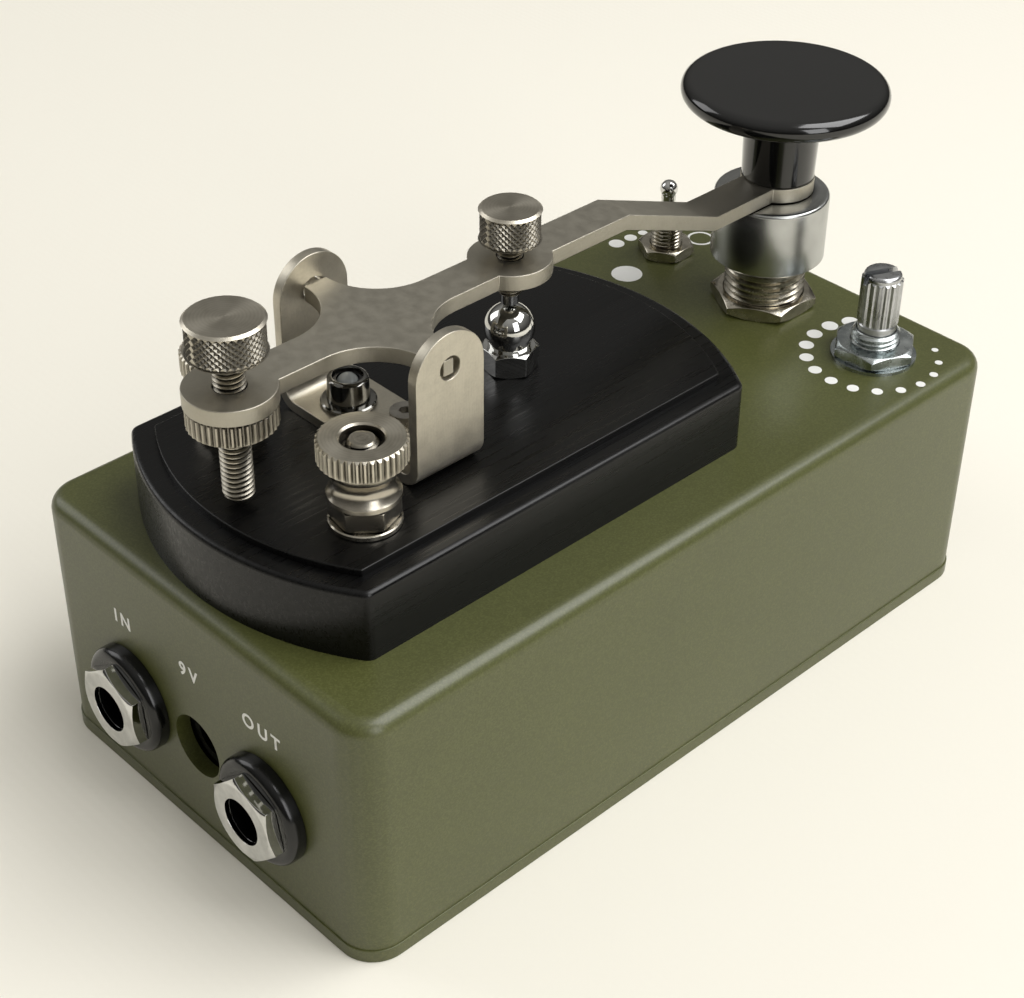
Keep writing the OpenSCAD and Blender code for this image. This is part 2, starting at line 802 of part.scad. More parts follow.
// Bat of the toggle switch, pivoting inside the bushing
module toggle_lever() {
    tip_z = case_h + toggle_tip_h - toggle_tip_d / 2;
    color("silver") translate([-toggle_x, row_y, 0]) {
        translate([0, 0, tip_z]) sphere(d = toggle_tip_d);
        translate([0, 0, toggle_pivot_z]) cylinder(d1 = 1.6, d2 = 2.1, h = tip_z - toggle_pivot_z);
        translate([0, 0, toggle_pivot_z]) sphere(d = 2.6);
        translate([0, 0, toggle_pivot_z]) rotate([0, 90, 0])
            cylinder(d = toggle_pin_d, h = toggle_pin_l, center = true);
    }
}

module toggle_body() {
    bushing_top = case_h + toggle_bushing_h;
    color("gray") translate([-toggle_x, row_y, 0]) difference() {
        union() {
            translate([-3.5, -4.5, ceiling_z - toggle_depth]) cube([7, 9, toggle_depth]);
            rod(toggle_bushing_d, ceiling_z - cut, bushing_top);
        }
        rotate_extrude() polygon([[0, toggle_pivot_z - 2], [1.4, toggle_pivot_z - 2],
            [1.4, toggle_pivot_z], [2.1, bushing_top], [2.1, bushing_top + cut],
            [0, bushing_top + cut]]);
        translate([0, 0, toggle_pivot_z]) rotate([0, 90, 0])
            cylinder(d = toggle_pin_d + 2 * fit, h = toggle_pin_l + 2 * fit, center = true);
    }
}

module toggle_nut() {
    color("darkgray") translate([-toggle_x, row_y, case_h]) difference() {
        rotate([0, 0, toggle_nut_turn]) hexagon(toggle_nut_af, toggle_nut_t);
        rod(toggle_bushing_d + 2 * fit, -cut, toggle_nut_t + cut);
    }
}

module toggle_lugs() {
    color("gold") translate([-toggle_x, row_y, ceiling_z - toggle_depth - 3])
        for (i = [-1 : 1]) translate([-0.6, i * 2.8 - 0.25, 0]) cube([1.2, 0.5, 3]);
}

// Slotted control shaft
module pot_shaft() {
    top_z = case_h + shaft_h;
    color("silver") translate([pot_x, row_y, 0]) difference() {
        union() {
            rod(shaft_d - shaft_step, shaft_floor, case_h + pot_bushing_h + 1);
            rod(shaft_d, case_h + pot_bushing_h + 0.3, top_z - 0.8);
            translate([0, 0, top_z - 0.8]) cylinder(d1 = shaft_d, d2 = shaft_d - 1.6, h = 0.8);
        }
        rotate([0, 0, shaft_turn]) translate([-slot_w / 2, -shaft_d, top_z - slot_h])
            cube([slot_w, 2 * shaft_d, slot_h + cut]);
    }
}

module pot_body() {
    color("darkseagreen") translate([pot_x, row_y, 0]) difference() {
        union() {
            translate([-pot_side / 2, -pot_side / 2, ceiling_z - pot_depth])
                cube([pot_side, pot_side, pot_depth]);
            rod(pot_bushing_d, ceiling_z - cut, case_h + pot_bushing_h);
        }
        rod(shaft_d - shaft_step + 2 * fit, shaft_floor - fit, case_h + pot_bushing_h + cut);
    }
}

module pot_nut() {
    nut_z = case_h + pot_washer_t;
    color("lightsteelblue") translate([pot_x, row_y, nut_z]) difference() {
        rotate([0, 0, pot_nut_turn]) hexagon(pot_nut_af, pot_nut_t);
        rod(pot_bushing_d + 2 * fit, -cut, pot_nut_t + cut);
    }
}

module pot_washer() {
    color("silver") translate([pot_x, row_y, case_h]) difference() {
        cylinder(d = pot_washer_d, h = pot_washer_t);
        rod(pot_bushing_d + 2 * fit, -cut, pot_washer_t + cut);
    }
}

module pot_pins() {
    color("gold") translate([pot_x, row_y - pot_side / 2 + 1, ceiling_z - pot_depth - 3])
        for (i = [-1 : 1]) translate([i * 2.5 - 0.4, -0.25, 0]) cube([0.8, 0.5, 3]);
}

// Jack with its threaded bushing through the case, plug bore along Y
module jack(side) {
    bushing_l = wall + jack_washer_t + 1.2;
    contact_l = 16;
    color([0.1, 0.1, 0.1]) translate([side * jack_x, inner_front_y, jack_z]) difference() {
        union() {
            translate([-jack_body_w / 2, 0, -jack_body_h / 2])
                cube([jack_body_w, jack_body_l, jack_body_h]);
            rotate([90, 0, 0]) translate([0, 0, -cut])
                cylinder(d = jack_bushing_d, h = bushing_l + cut);
        }
        translate([0, jack_body_l - 1.5, 0]) rotate([90, 0, 0])
            cylinder(r = plug_r, h = jack_body_l + bushing_l + cut);
        for (s = [-1, 1]) translate([s * 5.5 - 0.4, jack_body_l - contact_l, -1.5])
            cube([0.8, contact_l + cut, 3]);
    }
}

module input_jack() {
    jack(-1);
}

module output_jack() {
    jack(1);
}

// Black washers between the case and the jack nuts
module jack_washers() {
    color([0.06, 0.06, 0.06]) for (s = [-1, 1])
        translate([s * jack_x, front_y, jack_z]) rotate([90, 0, 0]) difference() {
            union() {
                cylinder(d = jack_washer_d, h = jack_washer_t - 0.8);
                translate([0, 0, jack_washer_t - 0.8])
                    cylinder(d1 = jack_washer_d, d2 = jack_washer_d - 1.6, h = 0.8);
            }
            rod(jack_bushing_d + 2 * fit, -cut, jack_washer_t + cut);
        }
}

// Jack nuts with a thin front lip round the plug hole
module jack_nuts() {
    lip = 0.6;
    turn = [35, 42];
    color("silver") for (i = [0, 1])
        translate([(2 * i - 1) * jack_x, front_y - jack_washer_t, jack_z])
            rotate([90, 0, 0]) difference() {
                rotate([0, 0, turn[i]]) hexagon(jack_nut_af, jack_nut_t);
                rod(jack_bushing_d + 2 * fit, -cut, jack_nut_t - lip);
                rod(2 * plug_r, -cut, jack_nut_t + cut);
            }
}

// Contact blades in the slots of each jack, with solder ends
module jack_contacts() {
    color("gold") for (sx = [-1, 1], s = [-1, 1])
        translate([sx * jack_x + s * 5.5 - 0.3, jack_back_y - 15, jack_z - 1.3])
            cube([0.6, 17.5, 2.6]);
}

// Power inlet socket behind its hole
module power_jack() {
    color([0.1, 0.1, 0.1]) translate([inlet_x, inner_front_y, jack_z]) difference() {
        translate([-power_body_w / 2, 0.3, -power_body_h / 2])
            cube([power_body_w, power_body_l - 0.3, power_body_h]);
        translate([0, 11, 0]) rotate([90, 0, 0]) cylinder(r = socket_r, h = 12);
        translate([0, power_body_l + cut, 0]) rotate([90, 0, 0]) cylinder(d = 2.2, h = 6);
    }
}

module power_pin() {
    color("silver") translate([inlet_x, power_back_y + 2, jack_z])
        rotate([90, 0, 0]) cylinder(d = 2.1, h = 13);
}

// Body of a binding post with its stud and hexagon
module post(side) {
    color("gray") translate([side * post_x, post_y, 0]) {
        rod(post_stud_d, base_z + 0.6, thumb_z + thumb_t - 0.2);
        translate([0, 0, plateau_z + post_washer_t]) rotate([0, 0, post_hex_turn])
            hexagon(post_hex_af, post_hex_h);
        translate([0, 0, plateau_z]) rotate_extrude() polygon([
            [0, post_washer_t + post_hex_h], [post_d / 2, post_washer_t + post_hex_h],
            [post_d / 2, post_washer_t + post_hex_h + 0.8], [post_d / 2 - 0.8, 6],
            [post_d / 2, 8], [post_d / 2, post_body_h], [0, post_body_h]]);
    }
}

module left_post() {
    post(-1);
}

module right_post() {
    post(1);
}

// Knurled nut that clamps a wire on a binding post
module thumb_nut(side) {
    color("lightgray") translate([side * post_x, post_y, thumb_z]) difference() {
        cylinder(d = thumb_d, h = thumb_t);
        rod(post_stud_d + 2 * fit, -cut, thumb_t + cut);
        rod(thumb_recess_d, thumb_t - thumb_recess_h, thumb_t + cut);
    }
}

module left_thumb_nut() {
    thumb_nut(-1);
}

module right_thumb_nut() {
    thumb_nut(1);
}

module post_washers() {
    color("silver") for (s = [-1, 1]) translate([s * post_x, post_y, 0]) difference() {
        rod(post_d, plateau_z, plateau_z + post_washer_t);
        rod(post_stud_d + 2 * fit, plateau_z - cut, plateau_z + post_washer_t + cut);
    }
}

module post_nuts() {
    color("silver") for (s = [-1, 1]) translate([s * post_x, post_y, 0]) tag_nut(post_stud_d);
}

module circuit_board() {
    color("seagreen") translate([0, board_y, 0]) difference() {
        translate([-board_w / 2, -board_l / 2, board_z]) cube([board_w, board_l, board_t]);
        at_corners(board_hole_x, board_hole_y) rod(3.2, board_z - cut, board_top + cut);
    }
}

// Hexagonal standoffs between the board and the case top
module standoffs() {
    color("white") translate([0, board_y, 0]) at_corners(board_hole_x, board_hole_y) difference() {
        translate([0, 0, board_top]) hexagon(5, ceiling_z - board_top);
        rod(3 + 2 * fit, board_top - cut, board_top + 6);
    }
}

module board_screws() {
    color("silver") translate([0, board_y, 0]) at_corners(board_hole_x, board_hole_y) {
        rod(3, board_z - 1, board_top + 5.5);
        rod(5.4, board_z - 1.8, board_z);
    }
}

// Two eight-legged chips under the board
module chips() {
    color([0.12, 0.12, 0.12]) for (s = [-1, 1]) translate([s * 11, board_y, 0]) {
        translate([-3.2, -4.9, board_z - 4]) cube([6.4, 9.8, 3.3]);
        for (sx = [-1, 1], i = [0 : 3])
            translate([sx * 3.4 - 0.25, (i - 1.5) * 2.54 - 0.25, board_z - 2.6])
                cube([0.5, 0.5, 2.6]);
    }
}

// Electrolytic capacitors under the board
module capacitors() {
    color("midnightblue") for (x = [-21, 0, 21], s = [-1, 1])
        translate([x, board_y + s * 16, 0]) difference() {
            rod(6.3, board_z - 11, board_z);
            translate([0, 0, board_z - 11 - cut]) cylinder(d = 5, h = cut + 0.3);
        }
}

// Resistors lying under the board
module resistors() {
    color("tan") for (x = [-14, -9, 9, 14], s = [-1, 1])
        translate([x, board_y + s * 14, board_z - 1.3]) {
            rotate([90, 0, 0]) cylinder(d = 2.2, h = 6, center = true);
            for (e = [-1, 1]) {
                translate([-0.3, e * 3.8 - 0.9, -0.3]) cube([0.6, 1.8, 0.6]);
                translate([-0.3, e * 4.4 - 0.3, -0.3]) cube([0.6, 0.6, 1.6]);
            }
        }
}

// Wires from the jacks to the board
module signal_wires() {
    color("royalblue") for (sx = [-1, 1], s = [-1, 1])
        wire([sx * jack_x + s * 5.5, jack_back_y + 2.6, jack_z],
            [0, 4, 0], [sx * 17 + s * 3, board_y0 + 4, board_z - wire_gap], [0, 0, -5]);
}

// Wires from the power inlet to the board
module power_wires() {
    color("crimson") for (s = [-1, 1])
        wire([inlet_x + s * 1.6, power_back_y + 0.1, jack_z + s * 3],
            [0, 8, 0], [s * 3, board_y0 + 3, board_z - wire_gap], [0, 0, -6]);
}

// Wires from the push switch, the toggle and the potentiometer to the board
module control_wires() {
    color("gold") {
        for (i = [-1 : 1])
            wire([i * 4.8, row_y - 4, switch_floor - 3], [0, -4, -2],
                [i * 5, board_y1 - 3, board_z - wire_gap], [0, 1, -5]);
        for (i = [-1 : 1])
            wire([-toggle_x, row_y + i * 2.8, ceiling_z - toggle_depth - 3.1], [0, -2, -6],
                [-16 + i * 3, board_y1 - 3, board_z - wire_gap], [0, 1, -5]);
        for (i = [-1 : 1])
            wire([pot_x + i * 2.5, row_y - pot_side / 2 + 1, ceiling_z - pot_depth - 3.1],
                [0, -2, -6], [16 + i * 3, board_y1 - 3, board_z - wire_gap], [0, 1, -5]);
    }
}

// Wires from the key's studs, down through the case top to the board
module key_wires() {
    color("darkorange") {
        wire([1, contact_y - 1, base_z + 0.5], [0, 0, -6],
            [2, contact_y - 3, board_top + wire_gap], [0, 0, 5]);
        for (s = [-1, 1])
            wire([s * post_x, post_y + 1, base_z + 0.5], [0, 0, -8],
                [s * (post_x - 2), board_y0 + 3, board_top + wire_gap], [0, 0, 6]);
    }
}

case_shell();
bottom_lid();
lid_screws();
key_base();
base_screws();
pivot_bracket();
bracket_screws();
led_bezel();
led();
key_lever();
rear_screw();
rear_lock_nut();
contact_screw();
contact_tip();
dome_nut();
dome_stud();
stud_nut();
knob();
knob_screw();
switch_cap();
switch_plunger();
switch_body();
switch_nut();
switch_spring();
switch_lugs();
toggle_lever();
toggle_body();
toggle_nut();
toggle_lugs();
pot_shaft();
pot_body();
pot_nut();
pot_washer();
pot_pins();
input_jack();
output_jack();
jack_washers();
jack_nuts();
jack_contacts();
power_jack();
power_pin();
left_post();
right_post();
left_thumb_nut();
right_thumb_nut();
post_washers();
post_nuts();
circuit_board();
standoffs();
board_screws();
chips();
capacitors();
resistors();
signal_wires();
power_wires();
control_wires();
key_wires();
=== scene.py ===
import json
import math

import bpy
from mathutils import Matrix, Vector


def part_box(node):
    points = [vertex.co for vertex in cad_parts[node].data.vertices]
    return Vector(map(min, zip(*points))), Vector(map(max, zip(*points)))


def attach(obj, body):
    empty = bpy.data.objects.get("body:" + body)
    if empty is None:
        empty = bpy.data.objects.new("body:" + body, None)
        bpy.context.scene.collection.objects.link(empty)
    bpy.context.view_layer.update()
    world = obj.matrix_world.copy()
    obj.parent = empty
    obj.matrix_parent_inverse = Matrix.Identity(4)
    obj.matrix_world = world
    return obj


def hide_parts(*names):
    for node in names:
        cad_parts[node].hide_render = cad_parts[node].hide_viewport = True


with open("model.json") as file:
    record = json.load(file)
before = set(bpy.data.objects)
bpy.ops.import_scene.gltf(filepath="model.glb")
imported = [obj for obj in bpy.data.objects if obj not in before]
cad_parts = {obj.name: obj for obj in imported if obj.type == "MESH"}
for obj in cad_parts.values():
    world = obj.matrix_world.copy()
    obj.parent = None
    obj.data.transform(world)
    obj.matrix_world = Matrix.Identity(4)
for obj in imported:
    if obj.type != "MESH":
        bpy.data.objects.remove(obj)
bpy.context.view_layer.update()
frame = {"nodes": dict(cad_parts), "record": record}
mm = 0.001
print("frame loaded:", len(frame["nodes"]), "nodes")


def middle(node):  # middle of a CAD node, in mm
    low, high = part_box(node)
    return [(a + b) / 2 / mm for a, b in zip(low, high)]


def reach(node, axis):  # lowest and highest place of a CAD node along one axis, in mm
    low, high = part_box(node)
    return low[axis] / mm, high[axis] / mm


def clearSelection():
    if bpy.context.object and bpy.context.object.mode != "OBJECT":
        bpy.ops.object.mode_set(mode="OBJECT")
    bpy.ops.object.select_all(action="DESELECT")
    bpy.context.tool_settings.mesh_select_mode = (True, False, False)


def pick(kind, test):  # leaves the active piece in edit mode with the matching parts selected
    bpy.ops.object.mode_set(mode="EDIT")
    bpy.ops.mesh.select_mode(type=kind)
    bpy.ops.mesh.select_all(action="DESELECT")
    bpy.ops.object.mode_set(mode="OBJECT")
    mesh = bpy.context.object.data
    parts = {"VERT": mesh.vertices, "EDGE": mesh.edges, "FACE": mesh.polygons}[kind]
    for part in parts:
        part.select = test(part)
    bpy.ops.object.mode_set(mode="EDIT")


def closeUp(piece, angle=35):
    # welds, turns the faces outwards and smooths all but the sharp edges
    clearSelection()
    piece.select_set(True)
    bpy.context.view_layer.objects.active = piece
    bpy.ops.object.mode_set(mode="EDIT")
    bpy.ops.mesh.select_all(action="SELECT")
    bpy.ops.mesh.remove_doubles(threshold=0.0005 * mm)
    bpy.ops.mesh.dissolve_degenerate(threshold=0.0005 * mm)
    bpy.ops.mesh.delete_loose()
    bpy.ops.mesh.select_all(action="SELECT")
    bpy.ops.mesh.fill_holes(sides=6)  # pinholes left by a cut
    bpy.ops.mesh.normals_make_consistent(inside=False)
    bpy.ops.object.mode_set(mode="OBJECT")
    bpy.ops.object.shade_smooth_by_angle(angle=math.radians(angle))
    return piece


def turned(name, steps, segments=64):
    # lathe work: a filled ring drawn upwards and resized at each step of (radius, height) in mm
    clearSelection()
    radius, height = steps[0]
    bpy.ops.mesh.primitive_circle_add(vertices=segments, radius=radius * mm, fill_type="NGON",
                                      location=(0, 0, height * mm))
    piece = bpy.context.object
    piece.name = name
    bpy.ops.object.transform_apply(location=True)
    bpy.ops.object.mode_set(mode="EDIT")
    bpy.ops.mesh.select_all(action="SELECT")
    for nextRadius, nextHeight in steps[1:]:
        bpy.ops.mesh.extrude_region_move(
            TRANSFORM_OT_translate={"value": (0, 0, (nextHeight - height) * mm)})
        if nextRadius < 0.001:
            bpy.ops.mesh.merge(type="CENTER")
            break
        scale = nextRadius / radius
        bpy.ops.transform.resize(value=(scale, scale, 1), center_override=(0, 0, nextHeight * mm))
        radius, height = nextRadius, nextHeight
    return closeUp(piece)


def arc(cx, cz, radius, start, end, count=6):  # steps along a quarter or half round edge
    return [(cx + radius * math.cos(math.radians(start + (end - start) * i / count)),
             cz + radius * math.sin(math.radians(start + (end - start) * i / count)))
            for i in range(count + 1)]


def bar(corners, radius, low, high, turn=0):  # plain bar stock with that many corners, in mm
    clearSelection()
    bpy.ops.mesh.primitive_cylinder_add(vertices=corners, radius=radius * mm,
                                        depth=(high - low) * mm,
                                        location=(0, 0, (low + high) / 2 * mm),
                                        rotation=(0, 0, math.radians(turn)))
    bpy.ops.object.transform_apply(location=True, rotation=True)
    return bpy.context.object


def combine(piece, tool, operation="DIFFERENCE"):  # cuts, keeps or adds the tool's shape
    clearSelection()
    piece.select_set(True)
    bpy.context.view_layer.objects.active = piece
    bpy.ops.object.modifier_add(type="BOOLEAN")
    change = piece.modifiers[-1]
    change.operation = operation
    change.object = tool
    change.solver = "EXACT"
    bpy.ops.object.modifier_apply(modifier=change.name)
    bpy.data.objects.remove(tool, do_unlink=True)
    return piece


def breakEdges(piece, width, segments=2, angle=35):  # small bevel on every sharp edge
    clearSelection()
    piece.select_set(True)
    bpy.context.view_layer.objects.active = piece
    bpy.ops.object.modifier_add(type="BEVEL")
    edge = piece.modifiers[-1]
    edge.width = width * mm
    edge.segments = segments
    edge.limit_method = "ANGLE"
    edge.angle_limit = math.radians(angle)
    bpy.ops.object.modifier_apply(modifier=edge.name)
    closeUp(piece)
    bpy.ops.object.modifier_add(type="WEIGHTED_NORMAL")  # keeps the wide faces flat
    piece.modifiers[-1].keep_sharp = True
    bpy.ops.object.modifier_apply(modifier=piece.modifiers[-1].name)
    return piece


def join(name, *pieces):
    clearSelection()
    for piece in pieces:
        piece.select_set(True)
    bpy.context.view_layer.objects.active = pieces[0]
    bpy.ops.object.join()
    bpy.context.object.name = name
    return bpy.context.object


def settle(piece, x=0, y=0, z=0, tilt=0, turn=0):
    # puts a piece at its place in mm, with its origin at zero
    clearSelection()
    piece.select_set(True)
    bpy.context.view_layer.objects.active = piece
    piece.rotation_euler = (math.radians(tilt), 0, math.radians(turn))
    piece.location = (x * mm, y * mm, z * mm)
    bpy.ops.object.transform_apply(location=True, rotation=True)
    return piece


def another(piece, name, x=0, turn=0):
    # a second piece of the same shape, moved along X by that much in mm and turned about Z
    clearSelection()
    piece.select_set(True)
    bpy.context.view_layer.objects.active = piece
    bpy.ops.object.duplicate(linked=False)
    extra = bpy.context.object
    extra.name = name
    return settle(extra, x, turn=turn)


def fromNode(name, node):  # a welded copy of a CAD node to be finished further
    clearSelection()
    piece = bpy.data.objects.new(name, frame["nodes"][node].data.copy())
    bpy.context.collection.objects.link(piece)
    piece.select_set(True)
    bpy.context.view_layer.objects.active = piece
    bpy.ops.object.mode_set(mode="EDIT")
    bpy.ops.mesh.select_all(action="SELECT")
    bpy.ops.mesh.remove_doubles(threshold=0.003 * mm)
    bpy.ops.mesh.dissolve_limited(angle_limit=math.radians(1.5))
    bpy.ops.object.mode_set(mode="OBJECT")
    return piece


def threadedRod(name, radius, pitch, low, high, segments=36, depth=0.55, chamfer=0.45):
    # a zigzag edge swept once round while it climbs one pitch, then sawn off square at both ends
    clearSelection()
    bpy.ops.mesh.primitive_plane_add(size=mm)
    piece = bpy.context.object
    piece.name = name
    root = radius - pitch * depth
    flat = pitch * 0.12
    bpy.ops.object.mode_set(mode="EDIT")
    bpy.ops.mesh.merge(type="CENTER")
    start = low - 2 * pitch
    bpy.ops.transform.translate(value=(root * mm, 0, start * mm))
    count = math.ceil((high - low) / pitch) + 3
    rise = pitch / 2 - flat
    for i in range(count):
        for dx, dz in ((radius - root, rise), (0, flat), (root - radius, rise), (0, flat)):
            bpy.ops.mesh.extrude_region_move(
                TRANSFORM_OT_translate={"value": (dx * mm, 0, dz * mm)})
    bpy.ops.object.mode_set(mode="OBJECT")
    bpy.ops.object.modifier_add(type="SCREW")
    sweep = piece.modifiers[-1]
    sweep.screw_offset = pitch * mm
    sweep.steps = segments
    sweep.render_steps = segments
    bpy.ops.object.modifier_apply(modifier=sweep.name)
    bpy.ops.object.mode_set(mode="EDIT")
    bpy.ops.mesh.select_all(action="SELECT")
    bpy.ops.mesh.remove_doubles(threshold=0.002 * mm)
    for height, keepAbove in ((low, True), (high, False)):
        bpy.ops.mesh.select_all(action="SELECT")
        bpy.ops.mesh.bisect(plane_co=(0, 0, height * mm), plane_no=(0, 0, 1),
                            clear_inner=keepAbove, clear_outer=not keepAbove)
    bpy.ops.mesh.select_all(action="SELECT")
    bpy.ops.mesh.fill_holes(sides=0)
    bpy.ops.object.mode_set(mode="OBJECT")
    closeUp(piece, 25)
    if chamfer:  # the first turns are turned down so that a nut starts easily
        blank = turned("blank", [(radius - chamfer, low - 0.01),
                                 (radius + 0.2, low + chamfer + 0.2),
                                 (radius + 0.2, high - chamfer - 0.2),
                                 (radius - chamfer, high + 0.01)], 48)
        combine(piece, blank, "INTERSECT")
    return closeUp(piece, 25)


def hexNut(name, acrossFlats, low, high, bore, turn, faces=(True, True)):
    # sawn from hexagon bar, with the corners turned off where a face shows
    corner = acrossFlats / 2 / math.cos(math.radians(30))
    nut = bar(6, corner, low - 0.2, high + 0.2, turn + 30)
    nut.name = name
    rim = corner + 0.1
    drop = (rim - acrossFlats / 2 * 0.98) * math.tan(math.radians(28))
    steps = [(acrossFlats / 2 * 0.98, low), (rim, low + drop)] if faces[0] else [(rim, low)]
    steps += [(rim, high - drop), (acrossFlats / 2 * 0.98, high)] if faces[1] else [(rim, high)]
    combine(nut, turned("blank", steps, 96), "INTERSECT")
    if bore:
        combine(nut, bar(64, bore / 2, low - 1, high + 1))
    return breakEdges(nut, 0.06, 2, 25)


def ribbedBar(name, radius, low, high, ribs, depth, chamfer):
    # bar with straight ribs rolled into it, its ends turned off at an angle
    clearSelection()
    bpy.ops.mesh.primitive_circle_add(vertices=4 * ribs, radius=radius * mm, fill_type="NGON",
                                      location=(0, 0, (low - 0.2) * mm))
    piece = bpy.context.object
    piece.name = name
    bpy.ops.object.transform_apply(location=True)
    pick("VERT", lambda v: v.index % 4 < 2)
    groove = 1 - depth / radius
    bpy.ops.transform.resize(value=(groove, groove, 1), center_override=(0, 0, low * mm))
    bpy.ops.mesh.select_all(action="SELECT")
    bpy.ops.mesh.extrude_region_move(
        TRANSFORM_OT_translate={"value": (0, 0, (high - low + 0.4) * mm)})
    closeUp(piece)
    steps = [(radius - chamfer, low), (radius + 0.1, low + chamfer),
             (radius + 0.1, high - chamfer), (radius - chamfer, high)]
    return combine(piece, turned("blank", steps, 96), "INTERSECT")


def knurledHead(name, radius, low, high, around, depth, chamfer=0.36):
    # a sheet of diamonds, each drawn out to a point, rolled into a ring and closed top and bottom
    clearSelection()
    rollRadius = radius - depth
    bandLow, bandHigh = low + chamfer, high - chamfer
    rows = max(2, round((bandHigh - bandLow) * around / (math.tau * rollRadius)))
    bpy.ops.mesh.primitive_grid_add(x_subdivisions=around, y_subdivisions=rows, size=1)
    piece = bpy.context.object
    piece.name = name
    piece.scale = (math.tau * rollRadius * mm, (bandHigh - bandLow) * mm, 1)
    bpy.ops.object.transform_apply(scale=True)
    bpy.ops.object.mode_set(mode="EDIT")
    bpy.ops.mesh.select_all(action="SELECT")
    bpy.ops.mesh.poke(offset=0)
    mesh = piece.data
    halfWide, halfHigh = math.pi * rollRadius * mm, (bandHigh - bandLow) / 2 * mm

    def straight(edge):  # an inner edge of the first grid
        a, b = (mesh.vertices[i].co for i in edge.vertices)
        level = abs(a.y - b.y) < 1e-7 and abs(a.y) < halfHigh - 1e-6
        upright = abs(a.x - b.x) < 1e-7 and abs(a.x) < halfWide - 1e-6
        return level or upright

    pick("EDGE", straight)
    bpy.ops.mesh.dissolve_edges(use_verts=False)
    pick("FACE", lambda face: len(face.vertices) == 4)
    bpy.ops.mesh.poke(offset=depth * mm)
    bpy.ops.object.mode_set(mode="OBJECT")
    piece.rotation_euler = (math.radians(90), 0, 0)  # stood up, points towards -Y
    bpy.ops.object.transform_apply(rotation=True)
    bpy.ops.object.modifier_add(type="SIMPLE_DEFORM")
    roll = piece.modifiers[-1]
    roll.deform_method = "BEND"
    roll.deform_axis = "Z"
    roll.angle = -math.tau
    bpy.ops.object.modifier_apply(modifier=roll.name)
    ys = [v.co.y for v in mesh.vertices]
    bpy.ops.object.mode_set(mode="EDIT")
    bpy.ops.mesh.select_all(action="SELECT")
    bpy.ops.transform.translate(value=(0, -(min(ys) + max(ys)) / 2, (bandLow + bandHigh) / 2 * mm))
    bpy.ops.object.mode_set(mode="OBJECT")
    closeUp(piece, 10)
    lip = (radius - 0.03) / rollRadius
    shrink = (radius - chamfer) / radius
    for edgeHeight, endHeight, up in ((bandHigh, high, 1), (bandLow, low, -1)):
        pick("VERT", lambda v: abs(v.co.z - edgeHeight * mm) < 0.01 * mm)
        bpy.ops.mesh.extrude_region_move(TRANSFORM_OT_translate={"value": (0, 0, up * 0.05 * mm)})
        bpy.ops.transform.resize(value=(lip, lip, 1), center_override=(0, 0, endHeight * mm))
        bpy.ops.mesh.extrude_region_move(
            TRANSFORM_OT_translate={"value": (0, 0, (endHeight - edgeHeight - up * 0.05) * mm)})
        bpy.ops.transform.resize(value=(shrink, shrink, 1), center_override=(0, 0, endHeight * mm))
        bpy.ops.mesh.edge_face_add()
    return closeUp(piece, 28)


waveStep = 6.3  # a wave texture repeats once in this many of its own units


def tone(code):  # sRGB hex to linear colour
    channels = [int(code[i:i + 2], 16) / 255 for i in (1, 3, 5)]
    return [c / 12.92 if c < 0.04045 else ((c + 0.055) / 1.055) ** 2.4 for c in channels] + [1]


def node(material, kind, settings=None, links=None):
    made = material.node_tree.nodes.new(kind)
    for key, value in (settings or {}).items():
        if isinstance(key, int) or key in made.inputs:
            made.inputs[key].default_value = value
        else:
            setattr(made, key, value)
    for key, source in (links or {}).items():
        material.node_tree.links.new(source, made.inputs[key])
    return made


def surface(name, **sockets):  # a material with its shader and object coordinates
    material = bpy.data.materials.new(name)
    material.use_nodes = True
    shader = material.node_tree.nodes["Principled BSDF"]
    for key, value in sockets.items():
        shader.inputs[key.replace("_", " ")].default_value = value
    place = node(material, "ShaderNodeTexCoord")
    return material, shader, place.outputs["Object"]


def link(material, source, target):
    material.node_tree.links.new(source, target)


def olivePaint():
    # sprayed enamel with fine metal flake: soft sheen, orange peel and tiny bright specks
    material, shader, place = surface("olive_enamel", Roughness=0.42, IOR=1.5, Coat_Weight=0.25,
                                      Coat_Roughness=0.22)
    peelSize, flakeSize, cloudSize = 1.4, 0.2, 22  # mm
    cloud = node(material, "ShaderNodeTexNoise", {"Scale": 1 / (cloudSize * mm), "Detail": 3},
                 {"Vector": place})
    flake = node(material, "ShaderNodeTexVoronoi", {"Scale": 1 / (flakeSize * mm)},
                 {"Vector": place})
    speck = node(material, "ShaderNodeValToRGB", None, {"Fac": flake.outputs["Color"]})
    speck.color_ramp.elements[0].position = 0.35
    speck.color_ramp.elements[0].color = tone("#4a4d24")
    speck.color_ramp.elements[1].position = 0.95
    speck.color_ramp.elements[1].color = tone("#585b30")
    base = node(material, "ShaderNodeMix",
                {"data_type": "RGBA", "blend_type": "MULTIPLY", 0: 0.25},
                {6: speck.outputs["Color"], 7: cloud.outputs["Fac"]})
    link(material, base.outputs[2], shader.inputs["Base Color"])
    peel = node(material, "ShaderNodeTexNoise", {"Scale": 1 / (peelSize * mm), "Detail": 2},
                {"Vector": place})
    bump = node(material, "ShaderNodeBump", {"Strength": 0.08, "Distance": 0.02 * mm},
                {"Height": peel.outputs["Fac"]})
    link(material, bump.outputs["Normal"], shader.inputs["Normal"])
    return material


